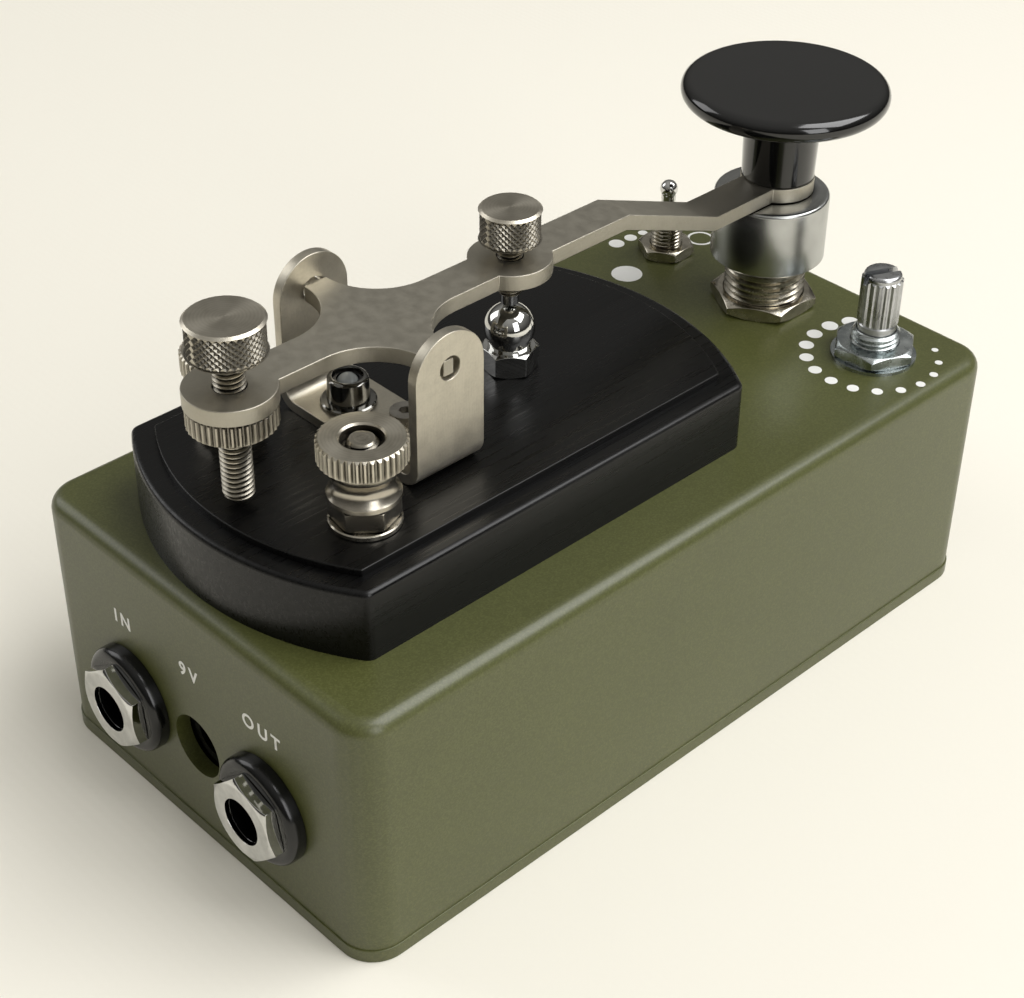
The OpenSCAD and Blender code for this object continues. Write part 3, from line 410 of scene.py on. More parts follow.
def satinBlack():
    # black painted hardwood or bakelite, rubbed down lengthwise: fine streaks in the sheen
    material, shader, place = surface("rubbed_black_lacquer", Base_Color=tone("#060606"), IOR=1.5,
                                      Specular_IOR_Level=0.32)
    streakSize = (0.5, 26, 0.8)  # mm across, along and up
    drawnOut = node(material, "ShaderNodeMapping", {"Scale": [1 / (c * mm) for c in streakSize]},
                    {"Vector": place})
    streaks = node(material, "ShaderNodeTexNoise", {"Scale": 1, "Detail": 4, "Roughness": 0.7},
                   {"Vector": drawnOut.outputs["Vector"]})
    rough = node(material, "ShaderNodeMapRange",
                 {"From Min": 0.3, "From Max": 0.7, "To Min": 0.2, "To Max": 0.42},
                 {"Value": streaks.outputs["Fac"]})
    link(material, rough.outputs["Result"], shader.inputs["Roughness"])
    bump = node(material, "ShaderNodeBump", {"Strength": 0.15, "Distance": 0.02 * mm},
                {"Height": streaks.outputs["Fac"]})
    link(material, bump.outputs["Normal"], shader.inputs["Normal"])
    return material


def turnedMetal(name, light, dark, roughness, centre, ring=0.22, anisotropy=0.6, axis="Z"):
    # lathe-turned metal: rings of tool marks that pull the highlight into a bow tie, and
    # painted shade darkening the valleys of a knurl or thread
    material, shader, place = surface(name, Metallic=1, Roughness=roughness,
                                      Anisotropic=anisotropy)
    tangent = node(material, "ShaderNodeTangent", {"direction_type": "RADIAL", "axis": axis})
    link(material, tangent.outputs["Tangent"], shader.inputs["Tangent"])
    hazeSize, valleyWidth = 2.5, 1.1  # mm
    local = node(material, "ShaderNodeMapping", {"Location": [-c * mm for c in centre]},
                 {"Vector": place})
    rings = node(material, "ShaderNodeTexWave",
                 {"wave_type": "RINGS", "rings_direction": axis,
                  "Scale": 1 / (ring * waveStep * mm), "Distortion": 0.4, "Detail": 2},
                 {"Vector": local.outputs["Vector"]})
    grime = node(material, "ShaderNodeTexNoise", {"Scale": 1 / (hazeSize * mm), "Detail": 5},
                 {"Vector": place})
    both = node(material, "ShaderNodeMath", {"operation": "MULTIPLY_ADD", 1: 0.12},
                {0: rings.outputs["Fac"], 2: grime.outputs["Fac"]})
    shade = node(material, "ShaderNodeValToRGB", None, {"Fac": both.outputs[0]})
    shade.color_ramp.elements[0].position = 0.35
    shade.color_ramp.elements[0].color = tone(dark)
    shade.color_ramp.elements[1].position = 0.7
    shade.color_ramp.elements[1].color = tone(light)
    # painted shade: ambient occlusion darkens the base colour in the valleys of a knurl or thread
    occlusion = node(material, "ShaderNodeAmbientOcclusion",
                  {"samples": 6, "Distance": valleyWidth * mm})
    paintedShade = node(material, "ShaderNodeMapRange",
                   {"From Min": 0.5, "From Max": 0.97, "To Min": 0.06, "To Max": 1.0},
                   {"Value": occlusion.outputs["AO"]})
    shadedColour = node(material, "ShaderNodeMix",
                  {"data_type": "RGBA", "blend_type": "MULTIPLY", 0: 1.0},
                  {6: shade.outputs["Color"], 7: paintedShade.outputs["Result"]})
    link(material, shadedColour.outputs[2], shader.inputs["Base Color"])
    bump = node(material, "ShaderNodeBump", {"Strength": 0.03, "Distance": 0.002 * mm},
                {"Height": rings.outputs["Fac"]})
    link(material, bump.outputs["Normal"], shader.inputs["Normal"])
    return material


def tumbledSteel(name, light, dark, roughness=0.4, edgeMarks=True):
    # stamped sheet steel, tumbled to a satin finish, with shear marks across its cut edges
    material, shader, place = surface(name, Metallic=1)
    grainSize, cloudSize, sheenSwing = 0.35, 1.6, 0.03  # mm, mm, roughness
    grain = node(material, "ShaderNodeTexNoise", {"Scale": 1 / (grainSize * mm), "Detail": 3},
                 {"Vector": place})
    cloud = node(material, "ShaderNodeTexNoise", {"Scale": 1 / (cloudSize * mm), "Detail": 4},
                 {"Vector": place})
    both = node(material, "ShaderNodeMath", {"operation": "MULTIPLY_ADD", 1: 0.6},
                {0: grain.outputs["Fac"], 2: cloud.outputs["Fac"]})
    shade = node(material, "ShaderNodeValToRGB", None, {"Fac": both.outputs[0]})
    shade.color_ramp.elements[0].position = 0.55
    shade.color_ramp.elements[0].color = tone(dark)
    shade.color_ramp.elements[1].position = 0.95
    shade.color_ramp.elements[1].color = tone(light)
    link(material, shade.outputs["Color"], shader.inputs["Base Color"])
    rough = node(material, "ShaderNodeMapRange", {"From Min": 0.35, "From Max": 0.65,
                                                  "To Min": roughness - sheenSwing,
                                                  "To Max": roughness + sheenSwing},
                 {"Value": cloud.outputs["Fac"]})
    link(material, rough.outputs["Result"], shader.inputs["Roughness"])
    height = grain.outputs["Fac"]
    if edgeMarks:
        shearSize = (0.22, 0.22, 3)  # mm, drawn out down the cut
        down = node(material, "ShaderNodeMapping", {"Scale": [1 / (c * mm) for c in shearSize]},
                    {"Vector": place})
        shear = node(material, "ShaderNodeTexNoise", {"Scale": 1, "Detail": 2},
                     {"Vector": down.outputs["Vector"]})
        facing = node(material, "ShaderNodeNewGeometry")
        split = node(material, "ShaderNodeSeparateXYZ", None,
                     {"Vector": facing.outputs["True Normal"]})
        flat = node(material, "ShaderNodeMath", {"operation": "ABSOLUTE"}, {0: split.outputs["Z"]})
        onEdge = node(material, "ShaderNodeMath", {"operation": "LESS_THAN", 1: 0.4},
                      {0: flat.outputs[0]})
        marks = node(material, "ShaderNodeMath", {"operation": "MULTIPLY"},
                     {0: shear.outputs["Fac"], 1: onEdge.outputs[0]})
        height = node(material, "ShaderNodeMath", {"operation": "MULTIPLY_ADD", 1: 4},
                      {0: marks.outputs[0], 2: height}).outputs[0]
    bump = node(material, "ShaderNodeBump", {"Strength": 0.3, "Distance": 0.02 * mm},
                {"Height": height})
    link(material, bump.outputs["Normal"], shader.inputs["Normal"])
    return material


def plated(name, light, dark, roughness):
    # bright plating over turned or cut steel: mirror-like, with a faint haze and fingermarks
    material, shader, place = surface(name, Metallic=1)
    hazeSize = 3  # mm
    haze = node(material, "ShaderNodeTexNoise",
                {"Scale": 1 / (hazeSize * mm), "Detail": 6, "Roughness": 0.6}, {"Vector": place})
    shade = node(material, "ShaderNodeValToRGB", None, {"Fac": haze.outputs["Fac"]})
    shade.color_ramp.elements[0].position = 0.35
    shade.color_ramp.elements[0].color = tone(dark)
    shade.color_ramp.elements[1].position = 0.7
    shade.color_ramp.elements[1].color = tone(light)
    link(material, shade.outputs["Color"], shader.inputs["Base Color"])
    rough = node(material, "ShaderNodeMapRange", {"From Min": 0.35, "From Max": 0.7,
                                                  "To Min": roughness * 0.7,
                                                  "To Max": roughness * 1.6},
                 {"Value": haze.outputs["Fac"]})
    link(material, rough.outputs["Result"], shader.inputs["Roughness"])
    scratchSize = (0.15, 2.5, 0.15)  # mm
    drawnOut = node(material, "ShaderNodeMapping", {"Scale": [1 / (c * mm) for c in scratchSize]},
                    {"Vector": place})
    scratch = node(material, "ShaderNodeTexNoise", {"Scale": 1, "Detail": 2},
                   {"Vector": drawnOut.outputs["Vector"]})
    bump = node(material, "ShaderNodeBump", {"Strength": 0.06, "Distance": 0.01 * mm},
                {"Height": scratch.outputs["Fac"]})
    link(material, bump.outputs["Normal"], shader.inputs["Normal"])
    return material


def moulded(name, light, dark, roughness, coat=0.0, grain=0.4):
    # moulded or dipped plastic: one colour with a faint cloud and a fine moulded grain
    material, shader, place = surface(name, IOR=1.47, Coat_Weight=coat, Coat_Roughness=0.06)
    cloudSize = 5  # mm
    cloud = node(material, "ShaderNodeTexNoise", {"Scale": 1 / (cloudSize * mm), "Detail": 4},
                 {"Vector": place})
    shade = node(material, "ShaderNodeValToRGB", None, {"Fac": cloud.outputs["Fac"]})
    shade.color_ramp.elements[0].color = tone(dark)
    shade.color_ramp.elements[1].color = tone(light)
    link(material, shade.outputs["Color"], shader.inputs["Base Color"])
    rough = node(material, "ShaderNodeMapRange", {"From Min": 0.3, "From Max": 0.7,
                                                  "To Min": roughness * 0.85,
                                                  "To Max": roughness * 1.2},
                 {"Value": cloud.outputs["Fac"]})
    link(material, rough.outputs["Result"], shader.inputs["Roughness"])
    fine = node(material, "ShaderNodeTexNoise", {"Scale": 1 / (grain * mm), "Detail": 2},
                {"Vector": place})
    bump = node(material, "ShaderNodeBump", {"Strength": 0.08, "Distance": 0.01 * mm},
                {"Height": fine.outputs["Fac"]})
    link(material, bump.outputs["Normal"], shader.inputs["Normal"])
    return material


def clearEpoxy():
    # cast epoxy lens: clear, slightly milky, with a fine haze of moulding marks
    material, shader, place = surface("clear_epoxy", Base_Color=tone("#dfe5e6"), IOR=1.54,
                                      Transmission_Weight=0.25)
    hazeSize = 0.6  # mm
    haze = node(material, "ShaderNodeTexNoise", {"Scale": 1 / (hazeSize * mm), "Detail": 3},
                {"Vector": place})
    rough = node(material, "ShaderNodeMapRange", {"To Min": 0.03, "To Max": 0.14},
                 {"Value": haze.outputs["Fac"]})
    link(material, rough.outputs["Result"], shader.inputs["Roughness"])
    return material


paint = olivePaint()
lacquer = satinBlack()
leverSteel = tumbledSteel("tumbled_stainless", "#b1ac9f", "#aaa598", 0.45)
bracketSteel = tumbledSteel("nickel_plated_sheet", "#c9c3b4", "#bcb6a8", 0.4)
nickel = plated("nickel_plate", "#d0cabc", "#a59f91", 0.2)
chrome = plated("bright_chrome", "#dcdcda", "#b9b9b6", 0.06)
darkChrome = plated("smoked_chrome", "#8d8c88", "#6a6966", 0.1)
zinc = plated("zinc_plate", "#ccd1d0", "#9fa6a7", 0.24)
steel = plated("plain_steel", "#b0aca4", "#8d8981", 0.3)
darkSteel = plated("black_oxide_steel", "#2c2b2a", "#191918", 0.4)
aluminium = plated("milled_aluminium", "#c9cacb", "#a4a5a6", 0.28)
brass = plated("tinned_brass", "#d2bb7c", "#a98f54", 0.3)
gloss = moulded("polished_bakelite", "#0a0a0a", "#050505", 0.14, 0.5)
blackPlastic = moulded("black_nylon", "#0a0a0a", "#050505", 0.2)
whiteInk = moulded("white_screen_ink", "#eeeeea", "#dededa", 0.45)
lens = clearEpoxy()
boardMask = moulded("green_solder_mask", "#14532f", "#0d3d21", 0.35)
nylon = moulded("white_nylon", "#deddd6", "#c8c7c0", 0.5)
shrinkSleeve = moulded("blue_shrink_sleeve", "#182a5c", "#101d42", 0.3)
resistorCoat = moulded("tan_lacquer", "#b59468", "#93754d", 0.4)
wireColours = {"signal_wires": "#2b57a8", "power_wires": "#a32a22", "control_wires": "#c9a227",
               "key_wires": "#c8641e"}
print("materials made")

nodeFinish = {
    "case_shell": paint, "bottom_lid": paint, "lid_screws": darkSteel, "base_screws": steel,
    "bracket_screws": steel, "contact_tip": chrome, "dome_stud": steel, "stud_nut": nickel,
    "knob_screw": steel, "switch_plunger": steel, "switch_body": nickel, "switch_spring": steel,
    "switch_lugs": brass, "toggle_body": nickel, "toggle_lugs": brass, "pot_body": nickel,
    "pot_washer": zinc, "pot_pins": brass, "input_jack": blackPlastic, "output_jack": blackPlastic,
    "jack_contacts": brass, "power_jack": blackPlastic, "power_pin": nickel, "post_nuts": nickel,
    "circuit_board": boardMask, "standoffs": nylon, "board_screws": steel, "chips": blackPlastic,
    "capacitors": shrinkSleeve, "resistors": resistorCoat, "led": lens,
}
for name, colour in wireColours.items():
    nodeFinish[name] = moulded("pvc_" + name, colour, colour, 0.45)


def dress(piece, material):
    piece.data.materials.clear()
    piece.data.materials.append(material)


for name, material in nodeFinish.items():
    slots = frame["nodes"][name].material_slots
    for slot in slots:
        slot.material = material


bodyOf = {name: body for body, names in frame["record"]["behaviour"]["bodies"].items()
          for name in names}


def standIn(piece, material, *names):  # the piece takes over these CAD nodes' look
    dress(piece, material)
    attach(piece, bodyOf[names[0]])
    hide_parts(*names)
    return piece


def addOn(piece, material, name):  # an extra piece that goes with a CAD node
    dress(piece, material)
    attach(piece, bodyOf[name])
    return piece


# case and lid
case = closeUp(fromNode("painted_case", "case_shell"), 30)
standIn(case, paint, "case_shell")
lid = breakEdges(fromNode("screwed_lid", "bottom_lid"), 0.3, 3)
standIn(lid, paint, "bottom_lid")
print("case done")

# key base
baseLook = {"cornerRound": 1.6, "edgeRound": 0.7, "shoulder": 3.07, "step": 1.0,
            "topCornerRound": 0.5, "topEdgeRound": 0.15, "bury": 2}
baseLow, baseTop = reach("key_base", 2)
baseY = middle("key_base")[1]
baseLeft, baseRight = reach("key_base", 0)
baseFront, baseBack = reach("key_base", 1)
baseHalf = (baseRight - baseLeft) / 2
baseRadius = (baseBack - baseFront) / 2


def baseSlab(name, half, radius, corner, low, high, edgeRound):
    # one quarter of the outline is drawn and spun, mirrored twice, filled and drawn upwards
    clearSelection()
    cornerY = math.sqrt((radius - corner) ** 2 - (half - corner) ** 2)
    cornerTurn = math.atan2(cornerY, half - corner)
    bpy.ops.mesh.primitive_plane_add(size=mm)
    slab = bpy.context.object
    slab.name = name
    bpy.ops.object.mode_set(mode="EDIT")
    bpy.ops.mesh.merge(type="CENTER")
    bpy.ops.transform.translate(value=(half * mm, 0, low * mm))
    bpy.ops.mesh.extrude_region_move(TRANSFORM_OT_translate={"value": (0, cornerY * mm, 0)})
    bpy.ops.mesh.spin(steps=6, angle=-cornerTurn, axis=(0, 0, 1),
                      center=((half - corner) * mm, cornerY * mm, low * mm))
    bpy.ops.mesh.spin(steps=20, angle=cornerTurn - math.pi / 2, axis=(0, 0, 1),
                      center=(0, 0, low * mm))
    bpy.ops.object.mode_set(mode="OBJECT")
    bpy.ops.object.modifier_add(type="MIRROR")
    mirror = slab.modifiers[-1]
    mirror.use_axis = (True, True, False)
    mirror.merge_threshold = 0.02 * mm
    bpy.ops.object.modifier_apply(modifier=mirror.name)
    bpy.ops.object.mode_set(mode="EDIT")
    bpy.ops.mesh.select_all(action="SELECT")
    bpy.ops.mesh.remove_doubles(threshold=0.01 * mm)
    bpy.ops.mesh.edge_face_add()
    bpy.ops.mesh.extrude_region_move(TRANSFORM_OT_translate={"value": (0, 0, (high - low) * mm)})
    closeUp(slab)
    pick("EDGE", lambda edge: all(abs(slab.data.vertices[i].co.z - high * mm) < 0.01 * mm
                                  for i in edge.vertices))
    bpy.ops.mesh.bevel(offset=edgeRound * mm, segments=4, affect="EDGES")
    return closeUp(slab, 30)


base = baseSlab("key_base_block", baseHalf, baseRadius, baseLook["cornerRound"], baseLow,
                baseTop - baseLook["step"], baseLook["edgeRound"])
inward = baseLook["shoulder"]
plateau = baseSlab("plateau", baseHalf - inward, baseRadius - inward, baseLook["topCornerRound"],
                   baseTop - baseLook["step"] - baseLook["bury"], baseTop,
                   baseLook["topEdgeRound"])
combine(base, plateau, "UNION")
settle(closeUp(base, 30), 0, baseY)
standIn(base, lacquer, "key_base")
print("key base done")

# pivot bracket and lever
bracket = breakEdges(fromNode("bent_bracket", "pivot_bracket"), 0.12, 2, 40)
standIn(bracket, bracketSteel, "pivot_bracket")
lever = breakEdges(fromNode("stamped_lever", "key_lever"), 0.13, 2, 40)
standIn(lever, leverSteel, "key_lever")
print("bracket and lever done")

# thumbscrews and lock nut
rearX, rearY, _ = middle("rear_screw")
rearLow, rearHigh = reach("rear_screw", 2)
rearLook = {"headHeight": 4.9, "headRadius": 5.05, "studRadius": 2.0, "pitch": 0.7,
            "diamonds": 34, "diamondDepth": 0.26}
head = knurledHead("head", rearLook["headRadius"], rearHigh - rearLook["headHeight"], rearHigh,
                   rearLook["diamonds"], rearLook["diamondDepth"])
stud = threadedRod("stud", rearLook["studRadius"], rearLook["pitch"], rearLow + 0.02,
                   rearHigh - rearLook["headHeight"] + 0.3)
rearScrew = settle(join("rear_thumbscrew", head, stud), rearX, rearY)
rearMetal = turnedMetal("turned_nickel_rear", "#c4beb0", "#b0aa9c", 0.33, (rearX, rearY, 0))
standIn(rearScrew, rearMetal, "rear_screw")

contactX, contactY, _ = middle("contact_screw")
contactLow, contactHigh = reach("contact_screw", 2)
contactLook = {"headHeight": 4.8, "headRadius": 4.2, "studRadius": 1.7, "pitch": 0.6,
               "diamonds": 30, "diamondDepth": 0.24}
head = knurledHead("head", contactLook["headRadius"], contactHigh - contactLook["headHeight"],
                   contactHigh, contactLook["diamonds"], contactLook["diamondDepth"])
stud = threadedRod("stud", contactLook["studRadius"], contactLook["pitch"], contactLow + 0.02,
                   contactHigh - contactLook["headHeight"] + 0.3)
contactScrew = settle(join("contact_thumbscrew", head, stud), contactX, contactY)
contactMetal = turnedMetal("turned_nickel_contact", "#c4beb0", "#b0aa9c", 0.33,
                           (contactX, contactY, 0))
standIn(contactScrew, contactMetal, "contact_screw")

lockX, lockY, _ = middle("rear_lock_nut")
lockLow, lockHigh = reach("rear_lock_nut", 2)
lockLook = {"radius": 5.62, "ribs": 38, "ribDepth": 0.34, "chamfer": 0.35, "boreRadius": 2.06}
lockNut = ribbedBar("knurled_lock_nut", lockLook["radius"], lockLow, lockHigh, lockLook["ribs"],
                    lockLook["ribDepth"], lockLook["chamfer"])
combine(lockNut, bar(48, lockLook["boreRadius"], lockLow - 1, lockHigh + 1))
settle(closeUp(lockNut, 30), lockX, lockY)
lockMetal = turnedMetal("turned_nickel_lock", "#b4aea1", "#9c968a", 0.32, (lockX, lockY, 0))
standIn(lockNut, lockMetal, "rear_lock_nut")
print("thumbscrews done")

# dome nut under the contact
domeX, domeY, _ = middle("dome_nut")
domeLow, domeHigh = reach("dome_nut", 2)
domeLook = {"flats": 7.0, "hexHeight": 3.3, "domeRadius": 3.45, "neck": 2.9, "turn": 50}
domeHexTop = domeLow + domeLook["hexHeight"]
domeHex = hexNut("hex", domeLook["flats"], domeLow, domeHexTop, 0, domeLook["turn"])
crown = domeHigh - domeLook["domeRadius"]
domeCap = turned("cap", [(domeLook["neck"], domeHexTop - 0.6),
                         (domeLook["neck"], domeHexTop + 0.15)]
                 + arc(0, crown, domeLook["domeRadius"], -26, 90, 18))
domeNut = settle(join("dome_contact_nut", domeHex, domeCap), domeX, domeY)
standIn(domeNut, chrome, "dome_nut")

# binding posts
postLook = {"flats": 7.8, "hexHeight": 3.0, "turn": 50, "waistRadius": 3.8, "collarRadius": 4.6,
            "studRadius": 2.0, "pitch": 0.7}
thumbLook = {"radius": 5.58, "ribs": 38, "ribDepth": 0.34, "chamfer": 0.35, "boreRadius": 2.08,
             "recessRadius": 2.7, "recessDepth": 1.6}
washerLook = {"radius": 4.6, "thick": 0.8, "boreRadius": 2.1}
leftX, postY, _ = middle("left_post")
postGap = middle("right_post")[0] - leftX
postFloor = domeLow
postTop = reach("left_post", 2)[1]
hexLow = postFloor + washerLook["thick"]
hexTop = hexLow + postLook["hexHeight"]
wide, narrow = postLook["collarRadius"], postLook["waistRadius"]
collar = hexNut("hex", postLook["flats"], hexLow, hexTop, 0, postLook["turn"])
waist = turned("waist", [(wide - 0.15, hexTop), (wide, hexTop + 0.15), (wide, hexTop + 0.75),
                         (narrow + 0.4, hexTop + 1.2), (narrow + 0.05, hexTop + 1.9),
                         (narrow, hexTop + 2.5), (narrow + 0.15, hexTop + 3.2),
                         (wide - 0.25, hexTop + 3.9), (wide, hexTop + 4.3),
                         (wide, hexTop + 4.95), (wide - 0.15, hexTop + 5.1)])
tip = threadedRod("tip", postLook["studRadius"], postLook["pitch"], hexTop + 5, postTop - 0.02)
leftPost = settle(join("left_binding_post", collar, waist, tip), leftX, postY)
thumbLow, thumbHigh = reach("left_thumb_nut", 2)
leftThumb = ribbedBar("left_knurled_nut", thumbLook["radius"], thumbLow, thumbHigh,
                      thumbLook["ribs"], thumbLook["ribDepth"], thumbLook["chamfer"])
combine(leftThumb, bar(48, thumbLook["boreRadius"], thumbLow - 1, thumbHigh + 1))
recess = thumbLook["recessRadius"]
combine(leftThumb, turned("recess", [(recess, thumbHigh - thumbLook["recessDepth"]),
                                     (recess, thumbHigh - 0.25), (recess + 0.4, thumbHigh + 0.15),
                                     (recess + 0.4, thumbHigh + 1)], 48))
settle(closeUp(leftThumb, 30), leftX, postY)
rightPost = another(leftPost, "right_binding_post", postGap)
rightThumb = another(leftThumb, "right_knurled_nut", postGap)
for name, post, thumb, x in (("left", leftPost, leftThumb, leftX),
                             ("right", rightPost, rightThumb, leftX + postGap)):
    postMetal = turnedMetal("turned_nickel_post_" + name, "#bab4a7", "#9f998c", 0.24,
                            (x, postY, 0), 0.3, 0.4)
    thumbMetal = turnedMetal("turned_nickel_thumb_" + name, "#c4beb0", "#aca698", 0.3,
                             (x, postY, 0))
    standIn(post, postMetal, name + "_post")
    standIn(thumb, thumbMetal, name + "_thumb_nut")
rim = washerLook["radius"]
washers = turned("washer", [(rim - 0.15, postFloor), (rim, postFloor + 0.15),
                            (rim, hexLow - 0.15), (rim - 0.15, hexLow)])
combine(washers, bar(48, washerLook["boreRadius"], postFloor - 1, postFloor + 2))
settle(closeUp(washers), leftX, postY)
secondWasher = another(washers, "second_washer", postGap)
standIn(join("post_washer_pair", washers, secondWasher), nickel, "post_washers")
print("binding posts done")

# knob
knobX, knobY, _ = middle("knob")
knobLow, knobHigh = reach("knob", 2)
knobLook = {"radius": 14.9, "rim": 1.55, "stemLow": 5.3, "stemHigh": 5.6, "fillet": 1.2}
rimZ = knobHigh - knobLook["rim"]
under = knobHigh - 2 * knobLook["rim"]
knobSteps = [(knobLook["stemLow"] - 0.2, knobLow), (knobLook["stemLow"], knobLow + 0.25),
             (knobLook["stemHigh"], under - knobLook["fillet"])]
knobSteps += [(knobLook["stemHigh"] + knobLook["fillet"] * (1 - math.cos(math.radians(a))),
               under - knobLook["fillet"] * (1 - math.sin(math.radians(a)))) for a in (30, 60, 90)]
knobSteps += arc(knobLook["radius"] - knobLook["rim"], rimZ, knobLook["rim"], -90, 90, 14)
knobSteps += [(knobLook["radius"] - 4, knobHigh), (4, knobHigh), (0.5, knobHigh)]
knob = turned("turned_knob", knobSteps, 96)
combine(knob, bar(32, 2.06, knobLow - 1, knobLow + 8.5))
settle(closeUp(knob, 30), knobX, knobY)
standIn(knob, gloss, "knob")

# push switch
capX, capY, _ = middle("switch_cap")
capLow, capHigh = reach("switch_cap", 2)
capLook = {"radius": 8.45, "edge": 0.6, "boreRadius": 4.25, "boreDepth": 6}
edge = capLook["edge"]
cap = turned("turned_cap", [(capLook["radius"] - 0.3, capLow), (capLook["radius"], capLow + 0.3),
                            (capLook["radius"], capHigh - edge)]
             + arc(capLook["radius"] - edge, capHigh - edge, edge, 20, 90, 4)
             + [(4, capHigh), (0.5, capHigh)], 96)
combine(cap, bar(48, capLook["boreRadius"], capLow - 1, capLow + capLook["boreDepth"]))
settle(closeUp(cap, 30), capX, capY)
capMetal = turnedMetal("turned_aluminium_cap", "#b9bab8", "#adaeac", 0.24, (capX, capY, 0), 0.35,
                       0.75)
standIn(cap, capMetal, "switch_cap")
caseTop = reach("case_shell", 2)[1]
bushTop = reach("switch_body", 2)[1]
bushLook = {"radius": 6.0, "pitch": 1.0, "holeRadius": 4.3, "flats": 14, "nutBore": 12.15,
            "nutTurn": 30}
bushing = threadedRod("threaded_bushing", bushLook["radius"], bushLook["pitch"], caseTop + 0.05,
                      bushTop, 48)
combine(bushing, bar(48, bushLook["holeRadius"], caseTop - 1, bushTop + 1))
settle(closeUp(bushing, 25), capX, capY)
# the plain bushing is sawn off its housing at the case top and the threaded one set in its place
saw = settle(bar(48, bushLook["radius"] + 1, caseTop + 0.06, bushTop + 1), capX, capY)
housing = combine(fromNode("switch_housing", "switch_body"), saw)
standIn(join("push_switch_body", closeUp(housing, 30), bushing), nickel, "switch_body")
nutLow, nutHigh = reach("switch_nut", 2)
switchNut = hexNut("switch_hex_nut", bushLook["flats"], nutLow, nutHigh, bushLook["nutBore"],
                   bushLook["nutTurn"])
settle(switchNut, capX, capY)
standIn(switchNut, nickel, "switch_nut")
print("knob and push switch done")

# toggle switch
toggleLook = {"length": 11.0, "tipRadius": 1.38, "neckRadius": 1.14, "rootRadius": 0.8,
              "bushRadius": 2.5, "pitch": 0.62, "holeRadius": 1.45, "mouthRadius": 2.12,
              "flats": 7.7, "nutBore": 5.1, "nutTurn": 32}
toggleX, toggleY, _ = middle("toggle_lever")
toggleHigh = reach("toggle_lever", 2)[1]
toggleBushTop = reach("toggle_body", 2)[1]
togglePivot = toggleHigh - toggleLook["length"]
root, neck, ball = toggleLook["rootRadius"], toggleLook["neckRadius"], toggleLook["tipRadius"]
bat = turned("toggle_bat", [(root, togglePivot - 0.2), (root + 0.08, togglePivot + 3),
                            (neck - 0.02, toggleHigh - 2.9), (neck, toggleHigh - 2.5)]
             + arc(0, toggleHigh - ball, ball, -34, 85, 12) + [(0, toggleHigh)], 32)
settle(bat, toggleX, toggleY)
standIn(bat, chrome, "toggle_lever")
toggleBush = threadedRod("toggle_bushing", toggleLook["bushRadius"], toggleLook["pitch"],
                         caseTop + 0.05, toggleBushTop, 36)
hole, mouth = toggleLook["holeRadius"], toggleLook["mouthRadius"]
combine(toggleBush, turned("hole", [(hole, caseTop - 1), (hole, caseTop + 1.4),
                                    (mouth, toggleBushTop), (mouth, toggleBushTop + 1)], 36))
settle(closeUp(toggleBush, 25), toggleX, toggleY)
saw = settle(bar(36, toggleLook["bushRadius"] + 1, caseTop + 0.06, toggleBushTop + 1), toggleX,
             toggleY)
housing = combine(fromNode("toggle_housing", "toggle_body"), saw)
standIn(join("toggle_switch_body", closeUp(housing, 30), toggleBush), nickel, "toggle_body")
nutLow, nutHigh = reach("toggle_nut", 2)
toggleNut = hexNut("toggle_hex_nut", toggleLook["flats"], nutLow, nutHigh, toggleLook["nutBore"],
                   toggleLook["nutTurn"])
settle(toggleNut, toggleX, toggleY)
standIn(toggleNut, nickel, "toggle_nut")

# potentiometer
potX, potY, _ = middle("pot_shaft")
potHigh = reach("pot_shaft", 2)[1]
potBushTop = reach("pot_body", 2)[1]
potLook = {"radius": 3.0, "teeth": 18, "tooth": 0.28, "ribLength": 7.2, "slotWidth": 1.2,
           "slotDepth": 1.8, "slotTurn": -24, "bushRadius": 3.5, "pitch": 0.75,
           "holeRadius": 2.98, "flats": 11, "nutBore": 7.1, "nutTurn": 5}
ribLow = potHigh - 0.9 - potLook["ribLength"]
shaft = ribbedBar("splines", potLook["radius"], ribLow, potHigh - 0.9, potLook["teeth"],
                  potLook["tooth"], 0.3)
core = turned("core", [(2.85, caseTop + 1), (2.85, ribLow - 0.2), (2.6, ribLow + 0.15),
                       (2.6, potHigh - 1.1), (2.72, potHigh - 0.9), (2.72, potHigh - 0.7)]
              + arc(2.12, potHigh - 0.6, 0.6, 10, 90, 5) + [(0.5, potHigh)], 48)
combine(shaft, core, "UNION")
clearSelection()
bpy.ops.mesh.primitive_cube_add(size=mm, location=(0, 0, potHigh * mm))
slotTool = bpy.context.object
slotTool.scale = (potLook["slotWidth"], 9, 2 * potLook["slotDepth"])
slotTool.rotation_euler = (0, 0, math.radians(potLook["slotTurn"]))
bpy.ops.object.transform_apply(location=True, rotation=True, scale=True)
combine(shaft, slotTool)
shaft = settle(closeUp(shaft, 30), potX, potY)
shaft.name = "splined_shaft"
standIn(shaft, aluminium, "pot_shaft")
potBush = threadedRod("pot_bushing", potLook["bushRadius"], potLook["pitch"], caseTop + 0.1,
                      potBushTop, 40)
combine(potBush, bar(40, potLook["holeRadius"], caseTop - 1, potBushTop + 1))
settle(closeUp(potBush, 25), potX, potY)
saw = settle(bar(40, potLook["bushRadius"] + 1, caseTop + 0.11, potBushTop + 1), potX, potY)
housing = combine(fromNode("pot_housing", "pot_body"), saw)
standIn(join("potentiometer_body", closeUp(housing, 30), potBush), zinc, "pot_body")
nutLow, nutHigh = reach("pot_nut", 2)
potNut = hexNut("pot_hex_nut", potLook["flats"], nutLow, nutHigh, potLook["nutBore"],
                potLook["nutTurn"])
settle(potNut, potX, potY)
standIn(potNut, zinc, "pot_nut")
print("toggle and potentiometer done")

